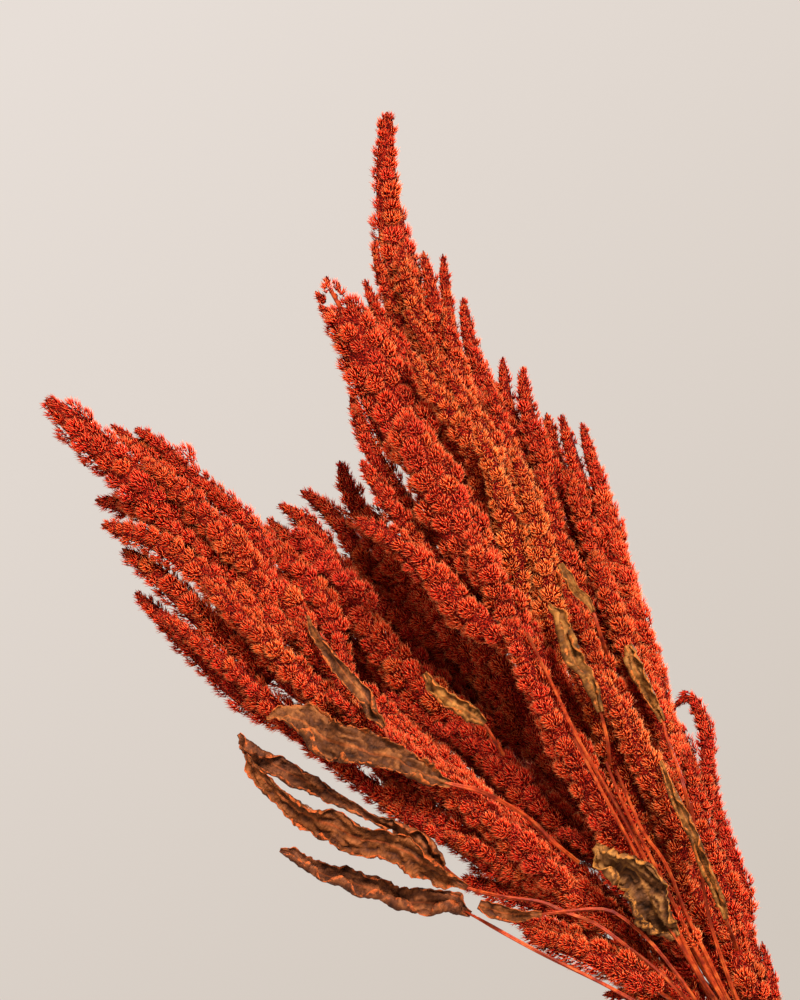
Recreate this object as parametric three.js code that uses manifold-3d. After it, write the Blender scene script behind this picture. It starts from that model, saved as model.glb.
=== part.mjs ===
// Dried amaranth in a vase: a bunch of flower plants that leans out to the left of a plain stoneware vase.
// Millimetres. +X is to the right seen from the front, +Y goes away from the viewer, +Z is up.
// The origin is the middle of the vase's foot, on the surface that it stands on.
import * as THREE from 'three';
import Module from 'manifold-3d';

const wasm = await Module();
wasm.setup();

// The vase
const VASE_HEIGHT = 190;
const VASE_FLOOR = 12;
const VASE_WALL = 8;
const FOOT_RADIUS = 58;
const BELLY_RADIUS = 79;
const NECK_RADIUS = 42;
const RIM_RADIUS = 46;
const EDGE = 3; // rounding at the foot and the rim
const VASE_SIDES = 20;
const VASE_RINGS = 7; // up its outside
const HOLLOW_RINGS = 5; // up its inside

// Stems and stalks
const STEM_RADIUS = 2.7;
const STEM_SIDES = 4;
const STEM_STEP = 5; // a stem has a ring at every fifth point of its run
const STEM_TAPER = 12; // points from a stem's tip to where it is full
const STALK_RADIUS = 1.5;
const STALK_STEP = 4;
const BARE_RADIUS = 2; // of the bare stalks in front
const BARE_LIFT = 34; // how far they stand in front of their plant
const BARE_STEP = 3;
const JOIN_RUN = 30; // a tail's stalk meets the stem at least this far below the tail's foot
const JOIN_SLOPE = 1.5; // and this many times its distance from the stem

// Flower tails
const BUD_PITCH = 12; // from one row of flower clusters to the next along a tail
const BACK_PITCH = 12.5; // the same on the far side of the bunch
const TAIL_SIDES = 6;
const TAIL_TIP = 0.35; // a tail's radius at its tip, as a share of its full radius
const TAIL_FOOT = 0.6; // the same at its foot
const VALLEY = 0.62; // a dip between two clusters, as a share of the tail's radius
const BUD_LEAN = 0.4; // how far a cluster points to the tip, as a share of the pitch

// Leaves
const LEAF_PITCH = 11;
const LEAF_THICKNESS = 0.9;
const LEAF_ROOM = 2.9; // a leaf's middle stands this clear of what it lies on
const LEAF_CLAIM = 3; // and takes up this much for the leaves in front of it
const LEAF_DROOP = 0.25; // how far its sides come forward, as a share of its half width
const WAVE_HEIGHT = 0.9;
const WAVE_RATES = [2.1, 2.6]; // radians from row to row and from column to column
const WAVE_WIDTH = 4; // a blade's half width at which it waves in full
const PETIOLE_PITCH = 15;
const PETIOLE_RADIUS = 1.3;
const PETIOLE_ROOT = 0.7; // its radius inside the blade
const PETIOLE_SIDES = 3;
const PETIOLE_ROOM = 0.7;

// How the plants settle beside each other in depth
const PLANT_GAP = 1.1; // between the tails of two plants
const SNUG = 0.92; // tails of one plant press into each other down to this share of their radii
const SETTLE_ROUNDS = 400;
const LOOSE_SHARE = 0.8; // of the rounds, in which the strands are smoothed most
const LOOSE = 0.5;
const FIRM = 0.15;
const FULL_SPREAD = 180; // a tail this far from the mouth stands as far from its plant as its lift says

// The mouth of the vase, where the plants fan out
const MOUTH = [-12, VASE_HEIGHT];
const STEM_END = [24, VASE_FLOOR + 1]; // middle of the stems' cut ends, on the floor of the vase
const END_SPREAD = 1.3;
const END_STEPS = 5;

// A flower tail in the front view: its tip, middle and foot as [x, z], its radius, and how far it stands
// towards the viewer from its plant. A taper of 1 is a plain cone, a smaller one is fuller near the tip.
const tail = (tip, middle, foot, radius, lift, taper = 0.5) => ({ tip, middle, foot, radius, lift, taper });

// Bare stalks that run down the front of the bunch to the mouth, side by side, as [x, z] from the top down
const BARE_STALKS = [
  [[-145, 440], [-133, 415], [-120, 388], [-104, 360], [-90, 335], [-76, 305], [-60, 272], [-38, 232]],
  [[-122, 388], [-106, 358], [-91, 330], [-79, 306], [-66, 280], [-52, 258], [-33, 228]],
  [[-106, 376], [-95, 350], [-82, 325], [-71, 303], [-60, 280], [-46, 255], [-28, 226]],
  [[-101, 372], [-88, 342], [-76, 325], [-66, 300], [-55, 278], [-42, 252], [-24, 224]],
  [[-64, 356], [-60, 330], [-55, 300], [-48, 278], [-38, 252], [-22, 222]],
];

// Each plant: its place in the mouth as [x, y], how far it fans out in depth for each millimetre from the
// mouth, its main stem from the tip down, and its flower tails. The first tail ends the main stem.
const PLANTS = [
  {
    name: 'plant_top',
    mouth: [-12, 0],
    fan: 0.03,
    stem: [[-214, 699], [-213, 655], [-205, 615], [-182, 572], [-152, 515], [-120, 455], [-88, 385],
      [-58, 325], [-34, 275], [-20, 235]],
    tails: [
      tail([-214, 700], [-214, 660], [-206, 618], 10.5, 0, 1),
      tail([-206, 628], [-192, 582], [-170, 545], 10, 0),
      tail([-220, 635], [-218, 621], [-208, 600], 6, 16),
      tail([-206, 635], [-206, 618], [-196, 592], 6, 24),
      tail([-196, 630], [-192, 612], [-186, 585], 5.5, 8),
      tail([-186, 629], [-184, 605], [-178, 572], 5.5, -12),
      tail([-184, 602], [-182, 582], [-172, 550], 6.5, 16),
      tail([-176, 607], [-172, 582], [-160, 545], 6.5, -8),
      tail([-156, 577], [-154, 555], [-144, 520], 6.5, -4),
      tail([-146, 572], [-144, 550], [-132, 512], 7, 8),
      tail([-164, 566], [-158, 545], [-148, 510], 7, 16),
      tail([-134, 549], [-130, 528], [-116, 485], 7.5, 0),
      tail([-205, 600], [-195, 582], [-180, 552], 6, 28),
    ],
  },
  {
    name: 'plant_second',
    bareStalks: BARE_STALKS,
    mouth: [-11, -18],
    fan: -0.045,
    stem: [[-240, 610], [-226, 580], [-205, 540], [-182, 500], [-158, 457], [-135, 420], [-112, 382],
      [-90, 340], [-70, 298], [-48, 260], [-29, 225]],
    tails: [
      tail([-244, 613], [-226, 580], [-200, 532], 18, 0, 0.6),
      tail([-207, 545], [-188, 510], [-166, 470], 17, 4),
      tail([-225, 615], [-218, 596], [-203, 570], 5.5, -16),
      tail([-232, 559], [-222, 530], [-198, 495], 7, -4),
      tail([-204, 580], [-192, 560], [-170, 526], 6.5, 16),
      tail([-188, 577], [-176, 552], [-160, 522], 7, 8),
      tail([-170, 542], [-160, 515], [-150, 475], 7.5, 28),
      tail([-152, 531], [-142, 500], [-132, 452], 8, 20),
      tail([-174, 490], [-158, 455], [-133, 415], 11, 20),
      tail([-155, 447], [-134, 400], [-100, 342], 10.5, 28),
      tail([-128, 466], [-112, 430], [-94, 385], 8, -8),
      tail([-112, 421], [-90, 382], [-70, 340], 9, 36),
      tail([-230, 495], [-204, 480], [-170, 446], 9, 20),
      tail([-110, 354], [-92, 325], [-66, 288], 8.5, 20),
      tail([-227, 525], [-212, 502], [-182, 466], 7.5, 2),
      tail([-122, 428], [-108, 394], [-92, 358], 8, 22),
    ],
  },
  {
    name: 'plant_left',
    mouth: [-22, -5],
    fan: -0.02,
    stem: [[-384, 555], [-352, 528], [-308, 482], [-258, 435], [-208, 392], [-158, 350], [-108, 310],
      [-62, 270], [-37, 232]],
    tails: [
      tail([-384, 555], [-363, 537], [-330, 505], 12, 4, 0.35),
      tail([-352, 543], [-340, 532], [-322, 512], 6, -6),
      tail([-340, 536], [-315, 519], [-280, 488], 8, -12),
      tail([-336, 525], [-318, 510], [-286, 476], 8, 12),
      tail([-360, 505], [-335, 499], [-304, 477], 8.5, -8, 0.3),
      tail([-356, 493], [-325, 482], [-284, 450], 8.5, 16, 0.3),
      tail([-346, 481], [-325, 465], [-288, 432], 8.5, 4, 0.35),
      tail([-340, 459], [-312, 432], [-270, 398], 7.5, -8),
      tail([-316, 506], [-295, 485], [-260, 450], 7.5, 4),
      tail([-306, 466], [-275, 435], [-234, 396], 8.5, 24),
      tail([-286, 498], [-270, 480], [-244, 450], 8, -16),
      tail([-328, 450], [-292, 422], [-244, 382], 7.5, 8),
      tail([-260, 446], [-248, 426], [-222, 394], 8.5, 20),
      tail([-232, 435], [-192, 395], [-148, 355], 9, -34),
      tail([-258, 428], [-222, 400], [-180, 366], 8.5, -2),
    ],
  },
  {
    name: 'plant_middle',
    mouth: [-19, 7],
    fan: 0.07,
    stem: [[-236, 520], [-208, 475], [-180, 435], [-148, 390], [-112, 345], [-80, 302], [-52, 267],
      [-33, 232]],
    tails: [
      tail([-238, 525], [-231, 505], [-212, 476], 7, 4),
      tail([-269, 503], [-252, 491], [-228, 458], 6.5, 0),
      tail([-275, 496], [-262, 482], [-244, 456], 5.5, -12),
      tail([-258, 510], [-242, 498], [-218, 468], 6.5, -8),
      tail([-255, 477], [-230, 448], [-190, 405], 10, 24),
      tail([-200, 416], [-164, 378], [-116, 332], 10.5, 24),
      tail([-235, 476], [-210, 445], [-180, 402], 9, -4),
      tail([-208, 437], [-178, 405], [-140, 357], 9, -16),
      tail([-158, 476], [-152, 462], [-138, 425], 8, 0),
      tail([-192, 477], [-172, 445], [-146, 402], 9, 8),
      tail([-162, 435], [-142, 400], [-122, 360], 8.5, -4),
      tail([-128, 372], [-108, 335], [-82, 300], 8.5, 6),
    ],
  },
  {
    name: 'plant_right',
    mouth: [-5, -9],
    fan: 0.02,
    stem: [[-116, 543], [-108, 505], [-94, 460], [-80, 415], [-68, 370], [-56, 325], [-42, 285],
      [-29, 250], [-17, 220]],
    tails: [
      tail([-117, 544], [-111, 522], [-99, 482], 6, 0),
      tail([-104, 498], [-93, 460], [-80, 415], 7, -6),
      tail([-125, 521], [-114, 490], [-100, 450], 7.5, 8),
      tail([-138, 521], [-130, 490], [-113, 450], 7.5, 4),
      tail([-112, 480], [-99, 445], [-82, 400], 8, 12),
      tail([-85, 436], [-77, 405], [-66, 366], 6.5, 4),
      tail([-73, 399], [-62, 406], [-54, 380], 5, 0),
      tail([-54, 398], [-51, 355], [-35, 302], 8, 0),
      tail([-64, 381], [-58, 345], [-44, 308], 7, 12),
      tail([-27, 285], [-23, 268], [-17, 240], 4.5, 4),
      tail([-58, 321], [-44, 288], [-30, 254], 9, 6),
      tail([-40, 306], [-32, 280], [-23, 247], 6.5, 4),
      tail([-82, 372], [-70, 336], [-56, 300], 8.5, 20),
      tail([-127, 548], [-118, 516], [-104, 480], 6.5, -6),
    ],
  },
  {
    name: 'plant_lower',
    mouth: [-19, -14],
    fan: -0.07,
    stem: [[-265, 394], [-232, 371], [-192, 348], [-148, 320], [-108, 295], [-72, 267], [-46, 232]],
    tails: [
      tail([-272, 399], [-235, 372], [-196, 344], 8, 0),
      tail([-218, 391], [-182, 362], [-140, 328], 8.5, 16),
      tail([-244, 411], [-208, 382], [-166, 353], 8, 4),
      tail([-186, 340], [-150, 324], [-110, 304], 8, 12),
      tail([-147, 291], [-118, 282], [-80, 262], 10, 20, 0.3),
      tail([-128, 293], [-98, 279], [-62, 255], 9, -4),
      tail([-107, 259], [-82, 259], [-56, 244], 7.5, 8),
      tail([-110, 322], [-88, 305], [-60, 270], 8, 4),
      tail([-130, 341], [-108, 330], [-76, 296], 8, -4),
      tail([-104, 287], [-80, 270], [-57, 248], 7.5, 16),
      tail([-222, 373], [-195, 352], [-168, 328], 8, -6),
      tail([-172, 326], [-142, 311], [-106, 298], 7.5, -6),
      tail([-92, 304], [-76, 281], [-60, 257], 7.5, 4),
    ],
  },
];

// Dry leaves on the front of the bunch, the rearmost first. Each has the depth that it keeps to where nothing
// is behind it, its blade as [x, z, half width] from the tip to the petiole, and the petiole's [x, z] points.
const leaf = (name, depth, blade, petiole) => ({ name, depth, blade, petiole });
const LEAVES = [
  leaf('leaf_folded', -20, [[-253.5, 448, 0.6], [-250, 440, 1.8], [-243.5, 431, 2.5], [-237.5, 423, 3.5],
    [-230, 414, 4], [-223.5, 406.5, 4], [-219.5, 399, 3], [-215.5, 393, 1.6]],
    [[-213, 386], [-209, 376], [-203, 368]]),
  leaf('leaf_long', -40, [[-273.5, 397, 0.6], [-265, 398, 3], [-255, 395, 7], [-245, 387.5, 10],
    [-232.5, 384, 10], [-220, 380, 7.5], [-207.5, 376.5, 6.5], [-195, 369, 4.5], [-182.5, 365, 2]],
    [[-167, 361], [-147, 350], [-132, 336], [-119, 325]]),
  leaf('leaf_narrow', -30, [[-287.5, 389, 1], [-280, 380, 4], [-271.5, 374.5, 5.5], [-260, 368.5, 5.5],
    [-250, 364.5, 4], [-240, 358.5, 3], [-230, 353.5, 2.4], [-220, 348, 1.8], [-210, 344.5, 3],
    [-200, 338, 5], [-192, 331, 5], [-186, 324, 1.6]],
    [[-180, 318], [-168, 309]]),
  leaf('leaf_low', -32, [[-267, 331.5, 1], [-261.5, 329.5, 3], [-255, 324.5, 3], [-246.5, 320, 4.5],
    [-237.5, 317.5, 4.8], [-227.5, 314, 6.3], [-217.5, 310.5, 5.5], [-208.5, 306, 5], [-197.5, 305.5, 7],
    [-187.5, 305, 6.5], [-180, 303, 4], [-172.5, 299.5, 1.6]],
    [[-160, 293], [-137.5, 281], [-107.5, 266], [-78, 250], [-55, 238]]),
  leaf('leaf_broad', -40, [[-284, 379, 1], [-278, 370, 3], [-270, 361.5, 4], [-260, 353.5, 4.5],
    [-250, 347.5, 6.5], [-240, 344, 8.5], [-229, 338, 7.5], [-216.5, 336, 7.5], [-204, 331, 8],
    [-192.5, 323.5, 5.5], [-182.5, 318, 3], [-174.5, 313.5, 1.6]],
    [[-157.5, 309], [-137.5, 306], [-126, 301], [-112, 296], [-100, 288], [-80, 272], [-58, 250]]),
  leaf('leaf_strip', -50, [[-168.5, 305.5, 2.5], [-162.5, 303, 4], [-155, 301, 4], [-147.5, 300.5, 2.6],
    [-137.5, 300.5, 1.6]],
    [[-125, 302], [-108, 303], [-98, 299], [-84, 287], [-70, 270], [-56, 250]]),
  leaf('leaf_middle', -30, [[-195.5, 419, 1.5], [-190.5, 413, 3], [-183.5, 407, 3.5], [-176.5, 402, 4.5],
    [-170.5, 398, 4], [-165.5, 394, 1.8]],
    [[-161.5, 387.5], [-156, 378]]),
  leaf('leaf_tan', -50, [[-134, 453.5, 1], [-129.5, 446, 3.2], [-126, 436, 4.5], [-122.5, 427.5, 5],
    [-117.5, 419, 3.5], [-112.5, 410, 3], [-109, 401, 1.8]],
    [[-105.5, 387.5], [-104, 375]]),
  leaf('leaf_small', -50, [[-128.5, 473.5, 1.4], [-124.5, 467.5, 2.6], [-120.5, 461, 2.2], [-115.5, 456, 2.2],
    [-112, 450, 1.4]],
    [[-109, 440], [-105, 429]]),
  leaf('leaf_right', -30, [[-94.5, 433, 2], [-92.5, 427.5, 4], [-90.5, 421, 4.5], [-87, 416, 3.5],
    [-83.5, 410, 3], [-80.5, 402.5, 2.5], [-77, 395, 1.6]],
    [[-75.5, 387.5], [-70, 372], [-64, 350]]),
  leaf('leaf_stripe', -30, [[-79, 376.5, 1], [-73.5, 362.5, 2], [-68.5, 351, 3], [-62, 338, 2.6],
    [-57.5, 325, 3], [-50, 310, 2.5], [-46.5, 298, 1.5]],
    [[-43, 290], [-39, 280]]),
  leaf('leaf_crumpled', -45, [[-111.5, 334, 2], [-105, 329, 6], [-96.5, 325, 7.5], [-88.5, 318, 10],
    [-84, 309, 11], [-78.5, 299, 7.5], [-71.5, 289, 3]],
    [[-66, 281], [-58, 268], [-50, 256]]),
];

// The far side of the bunch: plants like the ones in front, a little shorter and turned by so many degrees in
// the front view about the mouth, so that the front outline stays as it is. They keep every second tail,
// which is fuller, and are bare close to the mouth.
const BARE_REACH = 95;
const BACK_FULLER = 1.2;
const BACK_LARGEST = 15; // radius of a tail
const BACK_LIFTS = [0, -16, 14, -6, 22, -24, 8]; // how far each tail stands from its plant, in turn
const BACK_PLANTS = [
  { name: 'plant_back_top', like: 'plant_top', mouth: [-7, 12], fan: 0.14, turn: 2, size: 0.9 },
  { name: 'plant_back_left', like: 'plant_left', mouth: [-25, 11], fan: 0.13, turn: -1, size: 0.88 },
  { name: 'plant_back_right', like: 'plant_right', mouth: [-2, 5], fan: 0.13, turn: 3, size: 0.93 },
  { name: 'plant_back_middle', like: 'plant_second', mouth: [-8, 21], fan: 0.24, turn: -5, size: 0.9 },
  { name: 'plant_back_low', like: 'plant_left', mouth: [-15, 16], fan: 0.2, turn: -9, size: 0.72 },
];

function backPlant({ name, like, mouth, fan, turn, size }) {
  const source = PLANTS.find((plant) => plant.name === like);
  const angle = THREE.MathUtils.degToRad(turn);
  const place = ([x, z]) => {
    const dx = (x - MOUTH[0]) * size;
    const dz = (z - MOUTH[1]) * size;
    return [
      MOUTH[0] + dx * Math.cos(angle) - dz * Math.sin(angle),
      MOUTH[1] + dx * Math.sin(angle) + dz * Math.cos(angle),
    ];
  };
  const reach = ({ foot }) => Math.hypot(foot[0] - MOUTH[0], foot[1] - MOUTH[1]);
  const tails = source.tails
    .filter((one, index) => index % 2 === 0 && reach(one) > BARE_REACH)
    .map((one, index) => ({
      ...one,
      tip: place(one.tip),
      middle: place(one.middle),
      foot: place(one.foot),
      radius: Math.min(BACK_LARGEST, one.radius * BACK_FULLER),
      lift: BACK_LIFTS[index % BACK_LIFTS.length],
    }));
  return { name, mouth, fan, pitch: BACK_PITCH, stem: source.stem.map(place), tails };
}

// Evenly spaced points along a smooth curve through the given [x, z] points. A third number, such as a half
// width, is carried along as y.
function along(points, pitch) {
  const knots = points.map(([x, z, width = 0]) => new THREE.Vector3(x, width, z));
  const curve = new THREE.CatmullRomCurve3(knots, false, 'catmullrom', 0.5);
  return curve.getSpacedPoints(Math.max(3, Math.round(curve.getLength() / pitch)));
}

const apart = (a, b) => Math.hypot(a.x - b.x, a.z - b.z);

function nearest(points, target) {
  let best = 0;
  points.forEach((point, index) => {
    if (apart(point, target) < apart(points[best], target)) {
      best = index;
    }
  });
  return best;
}

// A strand is a run of points with a radius at each: a main stem, a flower tail with the stalk that joins it
// to the stem, or a bare stalk. Its depth is a first guess, which settle() then changes.
function plantStrands(plant, plantIndex) {
  const pitch = plant.pitch ?? BUD_PITCH;
  const reachOf = (point) => Math.hypot(point.x - plant.mouth[0], point.z - MOUTH[1]);
  const depthAt = (point) => plant.mouth[1] + plant.fan * reachOf(point);
  const rim = [plant.mouth[0], VASE_HEIGHT];
  const stemPath = along([...plant.stem, rim], pitch);
  const top = plant.tails[0].foot;
  const stemPoints = stemPath.slice(nearest(stemPath, { x: top[0], z: top[1] }) - 2);
  const girth = (i) => THREE.MathUtils.lerp(STALK_RADIUS, STEM_RADIUS, Math.min(1, i / STEM_TAPER));
  const stem = {
    plant: plantIndex,
    points: stemPoints.map((point) => new THREE.Vector3(point.x, depthAt(point), point.z)),
    radii: stemPoints.map((_, i) => girth(i)),
    budCount: 0,
  };
  // A strand along the given points that ends in the main stem, at the point numbered join
  const branch = (knots, join, lift, radiusAt) => {
    const end = stem.points[join];
    const path = along([...knots, [end.x, end.z]], pitch);
    const foot = knots[knots.length - 1];
    const footAt = nearest(path, { x: foot[0], z: foot[1] });
    const points = path.map((point, i) => {
      const away = i <= footAt ? 1 : 1 - (i - footAt) / (path.length - 1 - footAt);
      const spread = Math.min(1, reachOf(point) / FULL_SPREAD);
      return new THREE.Vector3(point.x, depthAt(point) - lift * away * spread, point.z);
    });
    return { plant: plantIndex, points, radii: path.map((_, i) => radiusAt(i, footAt)), footAt, stem, join };
  };
  const tails = plant.tails.map((one) => {
    const foot = { x: one.foot[0], z: one.foot[1] };
    const start = nearest(stem.points, foot);
    const run = Math.max(JOIN_RUN, JOIN_SLOPE * apart(stem.points[start], foot));
    const join = Math.min(stem.points.length - 2, start + Math.round(run / pitch));
    const strand = branch([one.tip, one.middle, one.foot], join, one.lift, (i, footAt) => {
      if (i > footAt) {
        return STALK_RADIUS;
      }
      const fullness = TAIL_TIP + (1 - TAIL_TIP) * (i / footAt) ** one.taper;
      return one.radius * fullness * (i === footAt ? TAIL_FOOT : 1);
    });
    return { ...strand, budCount: strand.footAt + 1 };
  });
  const bare = (plant.bareStalks ?? []).map((knots) => {
    const join = stem.points.length - 2;
    return { ...branch(knots, join, BARE_LIFT, () => BARE_RADIUS), budCount: 0, bare: true };
  });
  [stem.first] = tails;
  stem.firstAt = nearest(stem.first.points, stem.points[0]);
  return [stem, ...tails, ...bare];
}

// Moves the strands in depth alone until no tail presses into another plant. Each round looks at every pair
// of points that cover each other in the front view, pushes them apart, and smooths each strand a little.
function settle(strands) {
  const points = strands.flatMap((strand, s) => strand.points.map((point, i) => (
    { point, radius: strand.radii[i], s, plant: strand.plant, bud: strand.bare || i < strand.budCount }
  )));
  const pairs = [];
  for (let a = 0; a < points.length; a += 1) {
    for (let b = a + 1; b < points.length; b += 1) {
      const [p, q] = [points[a], points[b]];
      const samePlant = p.plant === q.plant;
      if (p.s === q.s || (samePlant && !(p.bud && q.bud))) {
        continue;
      }
      const reach = (p.radius + q.radius) * (samePlant ? SNUG : 1) + (samePlant ? 0 : PLANT_GAP);
      const flat = apart(p.point, q.point);
      if (flat < reach) {
        pairs.push([a, b, Math.sqrt(reach * reach - flat * flat)]);
      }
    }
  }
  const depth = Float64Array.from(points, ({ point }) => point.y);
  const push = new Float64Array(points.length);
  const hits = new Float64Array(points.length);
  let at = 0;
  for (const strand of strands) {
    strand.at = at;
    at += strand.points.length;
  }
  for (let round = 0; round < SETTLE_ROUNDS; round += 1) {
    push.fill(0);
    hits.fill(0);
    for (const [a, b, want] of pairs) {
      const have = depth[b] - depth[a];
      const lack = want - Math.abs(have);
      if (lack > 0) {
        const half = (have < 0 ? -lack : lack) / 2;
        push[a] -= half;
        push[b] += half;
        hits[a] += 1;
        hits[b] += 1;
      }
    }
    for (let i = 0; i < depth.length; i += 1) {
      depth[i] += push[i] / Math.max(1, hits[i]);
    }
    const soft = round < SETTLE_ROUNDS * LOOSE_SHARE ? LOOSE : FIRM;
    for (const strand of strands) {
      const last = strand.points.length - 1;
      const before = depth.slice(strand.at, strand.at + strand.points.length);
      for (let i = 1; i < last; i += 1) {
        depth[strand.at + i] += soft * ((before[i - 1] + before[i + 1]) / 2 - before[i]);
      }
      if (strand.stem) {
        depth[strand.at + last] = depth[strand.stem.at + strand.join];
      } else {
        depth[strand.at] = depth[strand.first.at + strand.firstAt];
        depth[strand.at + last] = strand.points[last].y;
      }
    }
  }
  points.forEach(({ point }, i) => {
    point.y = depth[i];
  });
}

// Turns a list of rings, each the same number of [x, y, z] points, into one closed mesh. The first and last
// points close the ends. upright says which way each face between two rings is split.
function loft(start, rings, end, upright = () => true) {
  const sides = rings[0].length;
  const vertices = [start, ...rings.flat(), end];
  const triangles = [];
  const at = (ring, side) => 1 + ring * sides + (side % sides);
  for (let j = 0; j < sides; j += 1) {
    triangles.push(0, at(0, j), at(0, j + 1));
    triangles.push(vertices.length - 1, at(rings.length - 1, j + 1), at(rings.length - 1, j));
    for (let i = 0; i < rings.length - 1; i += 1) {
      const [a, b, c, d] = [at(i, j), at(i, j + 1), at(i + 1, j + 1), at(i + 1, j)];
      triangles.push(...(upright(i, j) ? [a, c, b, a, d, c] : [a, d, b, b, d, c]));
    }
  }
  return solid(vertices.flat(), triangles);
}

function solid(positions, triangles) {
  const mesh = new wasm.Mesh({
    numProp: 3,
    vertProperties: Float32Array.from(positions),
    triVerts: Uint32Array.from(triangles),
  });
  return new wasm.Manifold(mesh);
}

// The ring of points round one point of a strand
function ring(points, i, sides, radiusAt, leanAt = () => 0) {
  const ahead = points[Math.max(0, i - 1)];
  const behind = points[Math.min(points.length - 1, i + 1)];
  const tipward = new THREE.Vector3().subVectors(ahead, behind).normalize();
  const side = new THREE.Vector3(0, 1, 0).cross(tipward).normalize();
  const front = new THREE.Vector3().crossVectors(tipward, side);
  return Array.from({ length: sides }, (_, j) => {
    const angle = (j / sides) * 2 * Math.PI;
    return points[i].clone()
      .addScaledVector(side, Math.cos(angle) * radiusAt(j))
      .addScaledVector(front, Math.sin(angle) * radiusAt(j))
      .addScaledVector(tipward, leanAt(j))
      .toArray();
  });
}

// A flower tail: clusters stand out of it in rows, each between two of the row above, and point to the tip.
function tailSolid({ points, radii, budCount }) {
  const last = points.length - 1;
  const isBud = (i, j) => (i + j) % 2 === 0;
  const rings = [];
  for (let i = 1; i < last; i += i < budCount ? 1 : STALK_STEP) {
    const radiusAt = (j) => (i < budCount && !isBud(i, j) ? radii[i] * VALLEY : radii[i]);
    const leanAt = (j) => (i < budCount && isBud(i, j) ? BUD_PITCH * BUD_LEAN : 0);
    rings.push(ring(points, i, TAIL_SIDES, radiusAt, leanAt));
  }
  return loft(points[0].toArray(), rings, points[last].toArray(), (i, j) => !isBud(i + 1, j));
}

// A bare round stem
function stemSolid(points, radii, sides, step) {
  const last = points.length - 1;
  const picked = points.map((_, i) => i).filter((i) => i % step === 0 && i < last - step / 2);
  const rings = [...picked, last].map((i) => ring(points, i, sides, () => radii[i]));
  return loft(points[0].toArray(), rings, points[last].toArray());
}

// The largest closed body of a solid, which leaves out loose scraps and fills sealed hollows
function mainBody(joined) {
  return joined.decompose().sort((a, b) => b.volume() - a.volume())[0];
}

function toMesh(name, body, material) {
  const { vertProperties, triVerts } = body.getMesh();
  const geometry = new THREE.BufferGeometry();
  geometry.setAttribute('position', new THREE.BufferAttribute(vertProperties, 3));
  geometry.setIndex(new THREE.BufferAttribute(triVerts, 1));
  const mesh = new THREE.Mesh(geometry.toNonIndexed(), material);
  mesh.geometry.computeVertexNormals();
  mesh.name = name;
  return mesh;
}

const finish = (color, roughness) => new THREE.MeshStandardMaterial({ color, roughness, metalness: 0 });

function plantMesh(plant, own) {
  const [stem, ...branches] = own;
  const foot = stemFoot(plant);
  const stemPoints = [...stem.points, ...foot];
  const stemRadii = [...stem.radii, ...foot.map(() => STEM_RADIUS)];
  const branchSolid = (one) => (
    one.bare ? stemSolid(one.points, one.radii, STEM_SIDES, BARE_STEP) : tailSolid(one)
  );
  const parts = [stemSolid(stemPoints, stemRadii, STEM_SIDES, STEM_STEP), ...branches.map(branchSolid)];
  return toMesh(plant.name, mainBody(wasm.Manifold.union(parts)), finish(0xc63a16, 0.9));
}

// The stem inside the vase, from the rim down to its cut end on the vase's floor
function stemFoot(plant) {
  const [x, y] = plant.mouth;
  const endX = STEM_END[0] + (x - MOUTH[0]) * END_SPREAD;
  const endY = y * END_SPREAD;
  return Array.from({ length: END_STEPS }, (_, i) => {
    const share = (i + 1) / END_STEPS;
    return new THREE.Vector3(
      THREE.MathUtils.lerp(x, endX, share),
      THREE.MathUtils.lerp(y, endY, share),
      THREE.MathUtils.lerp(VASE_HEIGHT, STEM_END[1], share),
    );
  });
}

// The depth at which a thing of half thickness room lies on the front of the strands, at the point x, z
function frontOf(obstacles, x, z, room) {
  let front = Infinity;
  for (const { point, radius } of obstacles) {
    const flat = Math.hypot(point.x - x, point.z - z);
    const reach = radius + room;
    if (flat < reach) {
      front = Math.min(front, point.y - Math.sqrt(reach * reach - flat * flat));
    }
  }
  return front;
}

// Keeps each value at or in front of its neighbours, then evens them out, so that nothing is cut into
function layOver(depths) {
  const least = depths.map((_, i) => Math.min(...depths.slice(Math.max(0, i - 1), i + 2)));
  return least.map((_, i) => {
    const near = least.slice(Math.max(0, i - 1), i + 2);
    return Math.min(least[i], near.reduce((sum, depth) => sum + depth, 0) / near.length);
  });
}

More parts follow.
